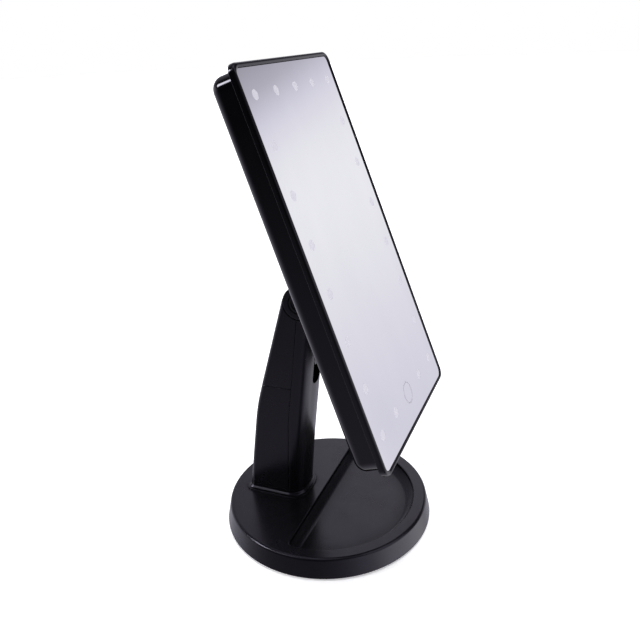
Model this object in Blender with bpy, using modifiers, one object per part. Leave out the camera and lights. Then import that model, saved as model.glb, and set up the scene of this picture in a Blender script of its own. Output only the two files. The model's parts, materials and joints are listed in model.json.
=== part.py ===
"""Lighted tabletop make-up mirror: a round tray base, a leaning column that
holds four cells, and a tilting rectangular mirror head with a ring of lamps.

Frame: origin under the centre of the base on its resting face, +Z up,
+X across the mirror, the mirror faces -Y and the column stands behind (+Y).
"""
import math

import bmesh
import bpy
from mathutils import Matrix, Vector

MM = 0.001

# ---- driving dimensions, in metres ------------------------------------------------
GAP = 0.3 * MM                    # clearance between neighbouring pieces

BASE_RADIUS_LOW = 62.0 * MM       # skirt at the table
BASE_RADIUS_TOP = 60.2 * MM       # skirt under the top edge
BASE_EDGE = 1.8 * MM              # rounding of the top edge
SKIRT_Z = 0.9 * MM                # the skirt clears the table by this much
DECK_Z = 12.0 * MM
BASE_WALL = 2.2 * MM
TRAY_RADIUS = 52.4 * MM
TRAY_CHORD_Y = 3.5 * MM           # straight edge of the tray
TRAY_DEPTH = 5.0 * MM
TRAY_COVE = 3.6 * MM              # rounding between tray wall and floor
TRAY_CORNER = 2.5 * MM
COLLAR_MARGIN = 2.3 * MM          # the raised pad stands this far round the column
COLLAR_TOP = DECK_Z + 0.8 * MM

PAD_RADIUS = 54.0 * MM
PAD_THICK = 1.0 * MM
COVER_RADIUS = 57.6 * MM
COVER_Z = 1.2 * MM
COVER_THICK = 2.0 * MM
COVER_SCREW_RADIUS = 52.6 * MM
COVER_SCREW_ANGLES = (90, 215, 325)

COLUMN_Z0 = COLLAR_TOP + GAP
COLUMN_HALF = 12.8 * MM
COLUMN_WALL = 1.7 * MM
COLUMN_FLOOR_Z = COLUMN_Z0 + 3.0 * MM
COLUMN_LIP = 0.6 * MM
COLUMN_LIP_TOP = COLUMN_Z0 + 1.4 * MM
FRONT_CORNER = 8.0 * MM
BACK_CORNER = 3.0 * MM
FRONT_CROWN = 0.4 * MM            # the front face bulges by this much
CAVITY_TOP = 124.0 * MM
SHOULDER_BACK_Z = 140.6 * MM
SHOULDER_FRONT_Z = 132.2 * MM
SEAM_Z = 85.0 * MM                # top of the battery door

AXIS_Y = 7.8 * MM                 # tilt axis, parallel to X
AXIS_Z = 139.3 * MM
KNUCKLE_RADIUS = 9.9 * MM
CENTRE_KNUCKLE_HALF = 5.4 * MM
FORK_INNER = 6.3 * MM
PIN_RADIUS = 2.5 * MM
CAP_RADIUS = 6.2 * MM

TILT = math.radians(19.3)         # top of the mirror leans back by this at rest
HEAD_WIDTH = 118.5 * MM
HEAD_HEIGHT = 216.5 * MM
HEAD_FRONT = -39.5 * MM           # front plane, from the tilt axis
HEAD_RISE = 21.8 * MM             # mirror centre above the tilt axis, along the head
HEAD_DEPTH = 18.2 * MM
HEAD_CORNER = 5.5 * MM
BEZEL_RIM = 2.1 * MM
BEZEL_DEPTH = 3.3 * MM
BEZEL_LEDGE = 7.2 * MM
LEDGE_THICK = 0.8 * MM
GLASS_THICK = 2.0 * MM
HOUSING_INSET = 2.1 * MM
HOUSING_CORNER = 7.5 * MM
HOUSING_BACK_ROUND = 6.2 * MM
HOUSING_WALL = 2.0 * MM

LED_PITCH_X = 23.34 * MM
LED_PITCH_Z = 26.04 * MM
LED_COLUMNS = 5
LED_ROWS = 8
LED_SHIFT = 0.86 * MM             # the lamp grid sits this far above the mirror centre

CELL_RADIUS = 5.15 * MM           # AAA cell
CELL_LENGTH = 43.5 * MM
CELL_NUB = 1.0 * MM
CELL_PITCH = 10.8 * MM
BAY_LEAN = math.radians(7.1)
BAY_CENTRE = Vector((0, 27.2 * MM, 46.5 * MM))
BAY_HALF_HEIGHT = 26.6 * MM

SWITCH_Z = 99.5 * MM              # middle of the switch slot
SLOT_WIDTH = 11.0 * MM
SLOT_LENGTH = 28.0 * MM
SWITCH_TRAVEL = 5.5 * MM
KNOB_HALF = 7.6 * MM              # half length of the knob's face
KNOB_BACK = 2.9 * MM
FLANGE_FRONT = 2.3 * MM           # the knob's flange hides the slot from behind
FLANGE_BACK = 3.3 * MM
SWITCH_BODY_FRONT = 4.2 * MM
SWITCH_BODY_BACK = 9.5 * MM

# section lines seen from the side: y and z of a soft bend, slope below it, slope above it
FRONT_LINE = (9.6 * MM, 48.0 * MM, -0.103, -0.130)
BACK_LINE = (39.7 * MM, 70.0 * MM, -0.141, -0.297)
BEND_SOFTNESS = 4.0 * MM
COLUMN_LEVELS = (30, 40, 46, 50, 56, 64, 68, 72, 78, 90, 110, 124, 136)      # mm
PART_LINE = ((20.8 * MM, 12.0 * MM), (18.2 * MM, 62.0 * MM), (7.6 * MM, 141.0 * MM))

# screws, posts and bosses
PILOT = 1.5 * MM                  # radius of a screw's hole in plastic
COLUMN_HOLE = 1.7 * MM
COLUMN_SCREW_Y = (22.5 * MM, 39.5 * MM)
SHELL_SCREW_X = 6.4 * MM
SHELL_SCREW_Z = 117.5 * MM
SHELL_POST_Y = 20.3 * MM          # the front shell's posts end here
SHELL_SEAT_Y = SHELL_POST_Y + 1.7 * MM
BRACKET_SCREW_X = 15.0 * MM
BRACKET_SCREW_Z = 15.5 * MM
HOUSING_SCREW_X = 36.0 * MM
HOUSING_SCREW_Z = 78.0 * MM       # from the mirror's centre
CARRIER_POST_Y = HEAD_FRONT + HEAD_DEPTH - 4.6 * MM
HOUSING_SEAT_Y = HEAD_FRONT + HEAD_DEPTH - 1.6 * MM
HEAD_DOWN = (math.pi, 0, 0)       # a screw driven upwards from under the base
HEAD_BACK = (-math.pi / 2, 0, 0)  # a screw driven forwards from behind

# hinge fork, from the tilt axis
PLATE_THICK = 3.0 * MM
PLATE_HALF_X = 19.0 * MM
PLATE_HALF_Z = 20.0 * MM
ARM_HALF = 4.2 * MM
WEB_START = 12.5 * MM             # the arm widens from here to the plate
WEB_HALF = 14.0 * MM

# inside the head, back from the bezel's front plane
SNAP_LIP = 2.4 * MM
LIP_THICK = 1.0 * MM
DIFFUSER_BACK_SET = 2.6 * MM
DIFFUSER_THICK = 1.0 * MM
BOARD_THICK = 1.0 * MM
STRIP_HALF = 3.5 * MM
TOUCH_RADIUS = 6.6 * MM
CARRIER_HALF_X = 52.0 * MM
CARRIER_HALF_Z = 99.0 * MM

TOOL_REACH = 70.0 * MM            # half size of the splitting tools
TOOL_TOP = 170.0 * MM
SIDE_REACH = 20.0 * MM            # a cut this long passes right through the column
DEEP = 5.0 * MM                   # how far a cutter stands out of what it cuts

# ---- scene and collections --------------------------------------------------------
for old in list(bpy.data.objects):
    bpy.data.objects.remove(old, do_unlink=True)

parts = bpy.data.collections.new("lighted_makeup_mirror")
cutters = bpy.data.collections.new("cutters")
bpy.context.scene.collection.children.link(parts)
bpy.context.scene.collection.children.link(cutters)


def material(name, colour, roughness, metallic=0.0):
    made = bpy.data.materials.new(name)
    made.use_nodes = True
    shader = made.node_tree.nodes["Principled BSDF"]
    shader.inputs["Base Color"].default_value = (*colour, 1.0)
    shader.inputs["Roughness"].default_value = roughness
    shader.inputs["Metallic"].default_value = metallic
    return made


SATIN_BLACK = material("satin_black_plastic", (0.020, 0.019, 0.023), 0.45)
GLOSS_BLACK = material("gloss_black_plastic", (0.008, 0.008, 0.010), 0.12)
RUBBER = material("black_rubber", (0.015, 0.015, 0.016), 0.85)
STEEL = material("plated_steel", (0.62, 0.62, 0.64), 0.30, 1.0)
MIRROR = material("silvered_glass", (0.90, 0.90, 0.92), 0.02, 1.0)
DIFFUSER = material("frosted_diffuser", (0.85, 0.85, 0.87), 0.60)
BOARD = material("white_circuit_board", (0.75, 0.76, 0.74), 0.50)
INNER_PLASTIC = material("grey_inner_plastic", (0.16, 0.16, 0.17), 0.55)
CELL_SLEEVE = material("cell_sleeve", (0.05, 0.12, 0.25), 0.35)
CABLE = material("cable_jacket", (0.35, 0.02, 0.02), 0.55)
COPPER = material("copper_pad", (0.80, 0.42, 0.25), 0.35, 1.0)


# ---- modelling helpers ------------------------------------------------------------
def finish(obj, name, slot, parent=None, smooth=True):
    """Names the object, gives it its material and puts it in the parts collection."""
    for held in list(obj.users_collection):
        held.objects.unlink(obj)
    parts.objects.link(obj)
    obj.name = name
    obj.data.name = name
    obj.data.materials.clear()
    obj.data.materials.append(slot)
    obj.parent = parent
    if smooth and isinstance(obj.data, bpy.types.Mesh):
        obj.data.shade_smooth()
        obj.data.set_sharp_from_angle(angle=math.radians(35))
    return obj


def tool(obj, name, parent=None):
    """Puts a cutter or a joining piece in the hidden collection."""
    for held in list(obj.users_collection):
        held.objects.unlink(obj)
    cutters.objects.link(obj)
    obj.name = name
    obj.parent = parent
    obj.hide_render = True
    obj.display_type = "WIRE"
    return obj


def boolean(obj, other, operation):
    modifier = obj.modifiers.new(operation.lower() + "_" + other.name, "BOOLEAN")
    modifier.operation = operation
    modifier.object = other
    return modifier


def mesh_object(name, bm):
    mesh = bpy.data.meshes.new(name)
    bm.to_mesh(mesh)
    bm.free()
    obj = bpy.data.objects.new(name, mesh)
    bpy.context.scene.collection.objects.link(obj)
    return obj


def box(name, low, high):
    """An upright block between two corners."""
    bm = bmesh.new()
    bmesh.ops.create_cube(bm, size=1.0)
    low, high = Vector(low), Vector(high)
    bmesh.ops.scale(bm, vec=high - low, verts=bm.verts)
    bmesh.ops.translate(bm, vec=(low + high) / 2, verts=bm.verts)
    return mesh_object(name, bm)


def rod(name, radius, start, end, segments=24, radius_end=None):
    """A cylinder or cone between two points."""
    start, end = Vector(start), Vector(end)
    bm = bmesh.new()
    bmesh.ops.create_cone(bm, cap_ends=True, segments=segments, radius1=radius,
                          radius2=radius if radius_end is None else radius_end,
                          depth=(end - start).length)
    turn = Vector((0, 0, 1)).rotation_difference(end - start).to_matrix().to_4x4()
    place = Matrix.Translation((start + end) / 2) @ turn
    bmesh.ops.transform(bm, matrix=place, verts=bm.verts)
    return mesh_object(name, bm)


def rounded_outline(half_x, half_y, radius, steps=6):
    """Corner-rounded rectangle about the origin, anticlockwise."""
    points = []
    for corner in range(4):
        sign_x = (1, -1, -1, 1)[corner]
        sign_y = (1, 1, -1, -1)[corner]
        for step in range(steps + 1):
            angle = math.radians(90 * (corner + step / steps))
            points.append((sign_x * (half_x - radius) + radius * math.cos(angle),
                           sign_y * (half_y - radius) + radius * math.sin(angle)))
    return points


def slab(name, outline, low, high, facing="Z"):
    """A flat outline made solid between two heights: a filled 2D curve, then a mesh.

    facing "Z" keeps (x, y) and rises along Z; facing "Y" reads (x, z) along Y;
    facing "X" reads (y, z) along X.
    """
    curve = bpy.data.curves.new(name, "CURVE")
    curve.dimensions = "2D"
    curve.fill_mode = "BOTH"
    curve.extrude = (high - low) / 2
    spline = curve.splines.new("POLY")
    spline.points.add(len(outline) - 1)
    for point, (a, b) in zip(spline.points, outline):
        point.co = (a, b, 0, 1)
    spline.use_cyclic_u = True
    flat = bpy.data.objects.new(name, curve)
    bpy.context.scene.collection.objects.link(flat)
    bpy.context.view_layer.update()
    graph = bpy.context.evaluated_depsgraph_get()
    mesh = bpy.data.meshes.new_from_object(flat.evaluated_get(graph))
    bpy.data.objects.remove(flat, do_unlink=True)
    bm = bmesh.new()
    bm.from_mesh(mesh)
    bmesh.ops.remove_doubles(bm, verts=bm.verts, dist=0.00001)
    bmesh.ops.dissolve_limit(bm, angle_limit=0.001, verts=bm.verts, edges=bm.edges)
    middle = (low + high) / 2
    if facing == "Y":
        place = Matrix(((1, 0, 0, 0), (0, 0, 1, middle), (0, 1, 0, 0), (0, 0, 0, 1)))
    elif facing == "X":
        place = Matrix(((0, 0, 1, middle), (1, 0, 0, 0), (0, 1, 0, 0), (0, 0, 0, 1)))
    else:
        place = Matrix.Translation((0, 0, middle))
    bmesh.ops.transform(bm, matrix=place, verts=bm.verts)
    bmesh.ops.recalc_face_normals(bm, faces=bm.faces)
    bm.to_mesh(mesh)
    bm.free()
    made = bpy.data.objects.new(name, mesh)
    bpy.context.scene.collection.objects.link(made)
    return made


def turned(name, profile, steps=48):
    """A profile in (radius, z), from the top down its outer side, spun about Z."""
    mesh = bpy.data.meshes.new(name)
    count = len(profile)
    mesh.from_pydata([(r, 0, z) for r, z in profile], [(i, i + 1) for i in range(count - 1)], [])
    obj = bpy.data.objects.new(name, mesh)
    bpy.context.scene.collection.objects.link(obj)
    screw = obj.modifiers.new("spin", "SCREW")
    screw.steps = steps
    screw.render_steps = steps
    screw.use_merge_vertices = True
    screw.merge_threshold = 0.00001
    return obj


def arc(centre, radius, start, end, steps):
    """Points on an arc in degrees, both ends included."""
    points = []
    for step in range(steps + 1):
        angle = math.radians(start + (end - start) * step / steps)
        points.append((centre[0] + radius * math.cos(angle), centre[1] + radius * math.sin(angle)))
    return points


def loft(name, rings):
    """A closed body through rings that have the same number of points."""
    bm = bmesh.new()
    loops = [[bm.verts.new(point) for point in ring] for ring in rings]
    count = len(loops[0])
    for lower, upper in zip(loops, loops[1:]):
        for i in range(count):
            j = (i + 1) % count
            bm.faces.new((lower[i], lower[j], upper[j], upper[i]))
    bm.faces.new(list(reversed(loops[0])))
    bm.faces.new(loops[-1])
    bmesh.ops.recalc_face_normals(bm, faces=bm.faces)
    return mesh_object(name, bm)


def empty(name, location, rotation_x=0.0):
    made = bpy.data.objects.new(name, None)
    made.empty_display_size = 0.01
    made.location = location
    made.rotation_euler = (rotation_x, 0, 0)
    parts.objects.link(made)
    return made


def screw_mesh(name, head_radius, head_height, shank_radius, shank_length):
    """A cross-recessed pan-head screw, head up at z=0..head_height, shank below."""
    profile = [(0, head_height), (head_radius * 0.7, head_height)]
    profile += [(head_radius, head_height * 0.45), (head_radius, 0), (shank_radius, 0)]
    profile += [(shank_radius, -shank_length + shank_radius), (0, -shank_length)]
    body = turned(name, profile, 10)
    depth = head_height * 0.55
    for turn, (a, b) in enumerate(((1.0, 0.26), (0.26, 1.0))):
        reach = head_radius * 0.55
        arm = box(name + "_cross", (-a * reach, -b * reach, head_height - depth),
                  (a * reach, b * reach, head_height * 2))
        boolean(body, tool(arm, name + "_cross_" + str(turn)), "DIFFERENCE")
    bpy.context.view_layer.update()
    graph = bpy.context.evaluated_depsgraph_get()
    mesh = bpy.data.meshes.new_from_object(body.evaluated_get(graph))
    mesh.shade_smooth()
    mesh.set_sharp_from_angle(angle=math.radians(35))
    mesh.materials.clear()
    mesh.materials.append(STEEL)
    bpy.data.objects.remove(body, do_unlink=True)
    for turn in range(2):
        bpy.data.objects.remove(bpy.data.objects[name + "_cross_" + str(turn)], do_unlink=True)
    return mesh


def place_screw(name, mesh, location, rotation, parent=None):
    """A screw at the seat of its head; the rotation turns its head's +Z outwards."""
    obj = bpy.data.objects.new(name, mesh)
    parts.objects.link(obj)
    obj.location = location
    obj.rotation_euler = rotation
    obj.parent = parent
    return obj


# ---- the column's outer form ------------------------------------------------------
def bent_line(z, line):
    """Two straight slopes that meet in a soft bend."""
    bend_y, bend_z, slope_low, slope_high = line
    over = (z - bend_z) / BEND_SOFTNESS
    rise = BEND_SOFTNESS * math.log1p(math.exp(over))
    return bend_y + slope_low * (z - bend_z) + (slope_high - slope_low) * rise


def front_y(z):
    return bent_line(z, FRONT_LINE)


def back_y(z):
    return bent_line(z, BACK_LINE)


def column_ring(z, inset=0.0, grow=0.0):
    """One level section: round front corners, tighter back corners, a bulged front."""
    half = COLUMN_HALF - inset + grow
    front = front_y(z) + inset - grow
    back = back_y(z) - inset + grow
    front_r = FRONT_CORNER - inset + grow
    back_r = max(BACK_CORNER - inset + grow, 0.8 * MM)
    ring = []
    ring += arc((half - back_r, back - back_r), back_r, 0, 90, 3)
    ring += arc((-half + back_r, back - back_r), back_r, 90, 180, 3)
    ring += arc((-half + front_r, front + front_r), front_r, 180, 270, 6)
    ring.append((0, front - FRONT_CROWN))
    ring += arc((half - front_r, front + front_r), front_r, 270, 360, 6)
    return [(x, y, z) for x, y in ring]


def column_body(name):
    rings = [column_ring(COLUMN_Z0, grow=COLUMN_LIP * 0.6)]
    rings.append(column_ring(COLUMN_Z0 + 0.4 * MM, grow=COLUMN_LIP))
    rings.append(column_ring(COLUMN_LIP_TOP - 0.4 * MM, grow=COLUMN_LIP))
    rings.append(column_ring(COLUMN_LIP_TOP))
    rings += [column_ring(level * MM) for level in COLUMN_LEVELS]
    rings.append(column_ring(SHOULDER_BACK_Z))
    return loft(name, rings)


def column_cavity(name):
    rings = [column_ring(COLUMN_FLOOR_Z, inset=COLUMN_WALL)]
    rings += [column_ring(level * MM, inset=COLUMN_WALL) for level in COLUMN_LEVELS[:-2]]
    rings.append(column_ring(CAVITY_TOP, inset=COLUMN_WALL))
    return loft(name, rings)


def part_line_y(z):
    """The seam between the column's front and its rear pieces, seen from the side."""
    (y0, z0), (y1, z1), (y2, z2) = PART_LINE
    if z < z1:
        return y0 + (y1 - y0) * (z - z0) / (z1 - z0)
    return y1 + (y2 - y1) * (z - z1) / (z2 - z1)


def split_tool(name, outline):
    return tool(slab(name, outline, -TOOL_REACH, TOOL_REACH, "X"), name)


def axis_cylinder(name, radius, low, high, segments=32):
    """A cylinder on the tilt axis."""
    return rod(name, radius, (low, AXIS_Y, AXIS_Z), (high, AXIS_Y, AXIS_Z), segments)


def build_column():
    """Returns the frame of the switch slot, which the switch is built in."""
    door_low = COLUMN_FLOOR_Z + GAP
    bend = PART_LINE[1]
    front_region = split_tool("front_region", [
        (-TOOL_REACH, 0), (TOOL_REACH, 0), (TOOL_REACH, COLUMN_FLOOR_Z),
        (part_line_y(COLUMN_FLOOR_Z), COLUMN_FLOOR_Z), bend,
        (part_line_y(TOOL_TOP), TOOL_TOP), (-TOOL_REACH, TOOL_TOP)])
    door_region = split_tool("door_region", [
        (TOOL_REACH, door_low), (TOOL_REACH, SEAM_Z - GAP), (part_line_y(SEAM_Z) + GAP, SEAM_Z - GAP),
        (bend[0] + GAP, bend[1]), (part_line_y(door_low) + GAP, door_low)])
    rear_region = split_tool("rear_region", [
        (TOOL_REACH, SEAM_Z), (TOOL_REACH, TOOL_TOP), (part_line_y(TOOL_TOP) + GAP, TOOL_TOP),
        (part_line_y(SEAM_Z) + GAP, SEAM_Z)])
    cavity = tool(column_cavity("column_cavity"), "column_cavity")
    front = build_front_shell(cavity, front_region)
    frame = cut_switch_slot(front)
    finish(front, "column_front_shell", SATIN_BLACK)
    build_rear_shell(cavity, rear_region)
    build_battery_door(cavity, door_region)
    return frame


def saddle(name, low, high):
    """Clearance round a knuckle of the fork."""
    return tool(axis_cylinder(name, KNUCKLE_RADIUS + GAP, low, high), name)


def build_front_shell(cavity, region):
    """Front wall, floor, middle knuckle and screw posts."""
    front = column_body("column_front_shell")
    boolean(front, cavity, "DIFFERENCE")
    boolean(front, region, "INTERSECT")
    shoulder = box("shoulder", (-SIDE_REACH, -TOOL_REACH, SHOULDER_FRONT_Z), (SIDE_REACH, AXIS_Y, TOOL_TOP))
    boolean(front, tool(shoulder, "shoulder"), "DIFFERENCE")
    past_saddle = CENTRE_KNUCKLE_HALF + 2.6 * MM
    knuckle = axis_cylinder("middle_knuckle", KNUCKLE_RADIUS - 0.2 * MM, -past_saddle, past_saddle)
    boolean(front, tool(knuckle, "middle_knuckle"), "UNION")
    boolean(front, saddle("saddle_left", -SIDE_REACH, -CENTRE_KNUCKLE_HALF), "DIFFERENCE")
    boolean(front, saddle("saddle_right", CENTRE_KNUCKLE_HALF, SIDE_REACH), "DIFFERENCE")
    wall = front_y(SHELL_SCREW_Z) + COLUMN_WALL * 0.6
    for index, x in enumerate((-SHELL_SCREW_X, SHELL_SCREW_X)):
        end = (x, SHELL_POST_Y, SHELL_SCREW_Z)
        post = rod("shell_post", 2.7 * MM, (x, wall, SHELL_SCREW_Z), end, 16)
        boolean(front, tool(post, "shell_post_" + str(index)), "UNION")
        hole = rod("shell_post_hole", PILOT, (x, wall + 6 * MM, SHELL_SCREW_Z),
                   (x, SHELL_POST_Y + DEEP, SHELL_SCREW_Z), 12)
        boolean(front, tool(hole, "shell_post_hole_" + str(index)), "DIFFERENCE")
    for index, y in enumerate(COLUMN_SCREW_Y):
        boss = rod("foot_boss", 3.2 * MM, (0, y, COLUMN_FLOOR_Z - MM), (0, y, COLUMN_FLOOR_Z + 2.4 * MM), 16)
        boolean(front, tool(boss, "foot_boss_" + str(index)), "UNION")
        hole = rod("foot_hole", COLUMN_HOLE, (0, y, 0), (0, y, COLUMN_FLOOR_Z + DEEP), 12)
        boolean(front, tool(hole, "foot_hole_" + str(index)), "DIFFERENCE")
    bore = axis_cylinder("pin_bore", PIN_RADIUS + GAP, -SIDE_REACH, SIDE_REACH, 16)
    boolean(front, tool(bore, "pin_bore"), "DIFFERENCE")
    return front


def cut_switch_slot(front):
    """Cuts the slot and returns its frame: -Y out of the column, +Z up the slope."""
    frame = empty("switch_frame", (0, front_y(SWITCH_Z), SWITCH_Z), math.atan(-FRONT_LINE[3]))
    outline = rounded_outline(SLOT_WIDTH / 2, SLOT_LENGTH / 2, 4.0 * MM, 4)
    slot = tool(slab("switch_slot", outline, -DEEP, COLUMN_WALL + 2.3 * MM, "Y"), "switch_slot", frame)
    boolean(front, slot, "DIFFERENCE")
    return frame


def build_rear_shell(cavity, region):
    """The upper back of the column, held by two screws."""
    rear = column_body("column_rear_shell")
    boolean(rear, cavity, "DIFFERENCE")
    boolean(rear, region, "INTERSECT")
    boolean(rear, saddle("saddle_full", -SIDE_REACH, SIDE_REACH), "DIFFERENCE")
    near, far = SHELL_POST_Y + GAP, back_y(SHELL_SCREW_Z) - 1.4 * MM
    for index, x in enumerate((-SHELL_SCREW_X, SHELL_SCREW_X)):
        out = (x, TOOL_REACH, SHELL_SCREW_Z)
        boss = rod("rear_boss", 3.9 * MM, (x, near, SHELL_SCREW_Z), (x, far, SHELL_SCREW_Z), 20)
        boolean(rear, tool(boss, "rear_boss_" + str(index)), "UNION")
        well = rod("rear_well", 2.9 * MM, (x, SHELL_SEAT_Y, SHELL_SCREW_Z), out, 20)
        boolean(rear, tool(well, "rear_well_" + str(index)), "DIFFERENCE")
        hole = rod("rear_hole", PILOT + 0.1 * MM, (x, 0, SHELL_SCREW_Z), out, 12)
        boolean(rear, tool(hole, "rear_hole_" + str(index)), "DIFFERENCE")
    finish(rear, "column_rear_shell", SATIN_BLACK)


def build_battery_door(cavity, region):
    """The lower back of the column, with a thumb scoop near its top."""
    door = column_body("battery_door")
    boolean(door, cavity, "DIFFERENCE")
    boolean(door, region, "INTERSECT")
    scoop_z = SEAM_Z - 9 * MM
    scoop_y = back_y(scoop_z) + 3.2 * MM
    scoop = rod("door_scoop", 4.0 * MM, (-6 * MM, scoop_y, scoop_z), (6 * MM, scoop_y, scoop_z), 20)
    boolean(door, tool(scoop, "door_scoop"), "DIFFERENCE")
    finish(door, "battery_door", SATIN_BLACK)


# ---- base -------------------------------------------------------------------------
def d_outline(radius, chord_y, corner):
    """The front part of a disc, cut off straight at chord_y, with rounded corners."""
    inner = radius - corner
    side = math.sqrt(inner ** 2 - (chord_y - corner) ** 2)
    tip = math.degrees(math.atan2(chord_y - corner, side))
    points = arc((side, chord_y - corner), corner, 90, tip, 3)
    points += arc((0, 0), radius, tip, -180 - tip, 44)[1:-1]
    points += arc((-side, chord_y - corner), corner, 180 - tip, 90, 3)
    return points


def tray_cutter():
    floor = DECK_Z - TRAY_DEPTH
    outline = d_outline(TRAY_RADIUS, TRAY_CHORD_Y, TRAY_CORNER)
    cutter = slab("tray_cutter", outline, floor, DECK_Z + DEEP)
    bm = bmesh.new()
    bm.from_mesh(cutter.data)
    low = [edge for edge in bm.edges if all(vert.co.z < floor + 0.01 * MM for vert in edge.verts)]
    bmesh.ops.bevel(bm, geom=low, offset=TRAY_COVE, segments=3, profile=0.5, affect="EDGES")
    bmesh.ops.recalc_face_normals(bm, faces=bm.faces)
    bm.to_mesh(cutter.data)
    bm.free()
    return tool(cutter, "tray_cutter")


def build_base():
    top = [(0, DECK_Z)] + arc((BASE_RADIUS_TOP - BASE_EDGE, DECK_Z - BASE_EDGE), BASE_EDGE, 90, 5, 3)
    low = [(BASE_RADIUS_LOW, SKIRT_Z), (BASE_RADIUS_LOW - BASE_WALL, SKIRT_Z)]
    inside = [(BASE_RADIUS_TOP - BASE_WALL, DECK_Z - BASE_WALL), (0, DECK_Z - BASE_WALL)]
    shell = turned("base_shell", top + low + inside, 72)
    finish(shell, "base_shell", SATIN_BLACK)
    under = slab("tray_under", d_outline(TRAY_RADIUS + BASE_WALL, TRAY_CHORD_Y + BASE_WALL, TRAY_CORNER),
                 DECK_Z - TRAY_DEPTH - BASE_WALL, DECK_Z - 1 * MM)
    boolean(shell, tool(under, "tray_under"), "UNION")
    boolean(shell, tray_cutter(), "DIFFERENCE")
    collar_low = [(x, y, DECK_Z - MM) for x, y, _ in column_ring(COLUMN_Z0, grow=COLLAR_MARGIN)]
    collar_mid = [(x, y, COLLAR_TOP - 0.4 * MM) for x, y, _ in column_ring(COLUMN_Z0, grow=COLLAR_MARGIN)]
    collar_top = [(x, y, COLLAR_TOP) for x, y, _ in column_ring(COLUMN_Z0, grow=COLLAR_MARGIN - 0.5 * MM)]
    boolean(shell, tool(loft("collar", [collar_low, collar_mid, collar_top]), "collar"), "UNION")
    for index, y in enumerate(COLUMN_SCREW_Y):
        hole = rod("deck_hole", COLUMN_HOLE, (0, y, 0), (0, y, COLLAR_TOP + DEEP), 12)
        boolean(shell, tool(hole, "deck_hole_" + str(index)), "DIFFERENCE")

    cover_top = COVER_Z + COVER_THICK
    cover = turned("base_bottom_cover", [(0, cover_top), (COVER_RADIUS, cover_top), (COVER_RADIUS, COVER_Z),
                                         (0, COVER_Z)], 48)
    finish(cover, "base_bottom_cover", SATIN_BLACK)
    pad = turned("anti_slip_pad", [(0, PAD_THICK), (PAD_RADIUS, PAD_THICK), (PAD_RADIUS, 0), (0, 0)], 48)
    finish(pad, "anti_slip_pad", RUBBER)

    cover_screw = screw_mesh("cover_screw", 2.6 * MM, 0.9 * MM, 1.1 * MM, 3.8 * MM)
    for index, angle in enumerate(COVER_SCREW_ANGLES):
        x = COVER_SCREW_RADIUS * math.cos(math.radians(angle))
        y = COVER_SCREW_RADIUS * math.sin(math.radians(angle))
        top_z = DECK_Z - MM if y > 0 else DECK_Z - TRAY_DEPTH - MM
        boss = rod("cover_boss", 2.8 * MM, (x, y, cover_top + GAP), (x, y, top_z), 16)
        boolean(shell, tool(boss, "cover_boss_" + str(index)), "UNION")
        hole = rod("cover_boss_hole", 1.4 * MM, (x, y, 0), (x, y, cover_top + 3 * MM), 12)
        hole = tool(hole, "cover_boss_hole_" + str(index))
        boolean(shell, hole, "DIFFERENCE")
        boolean(cover, hole, "DIFFERENCE")
        well = rod("cover_well", 2.9 * MM, (x, y, 0), (x, y, COVER_Z + 1.1 * MM), 16)
        boolean(cover, tool(well, "cover_well_" + str(index)), "DIFFERENCE")
        place_screw("cover_screw_" + str(index + 1), cover_screw, (x, y, COVER_Z + 1.0 * MM), HEAD_DOWN)

    weight_low, weight_high = cover_top + GAP, DECK_Z - BASE_WALL - 2.4 * MM
    outline = [(-x, -y) for x, y in d_outline(48.5 * MM, -8 * MM, 2 * MM)]
    finish(slab("base_weight", outline, weight_low, weight_high), "base_weight", STEEL)
    column_screw = screw_mesh("column_screw", 3.0 * MM, 1.6 * MM, 1.4 * MM, 8.0 * MM)
    for index, y in enumerate(COLUMN_SCREW_Y):
        seat = (0, y, DECK_Z - BASE_WALL - 0.2 * MM)
        place_screw("column_screw_" + str(index + 1), column_screw, seat, HEAD_DOWN)


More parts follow.
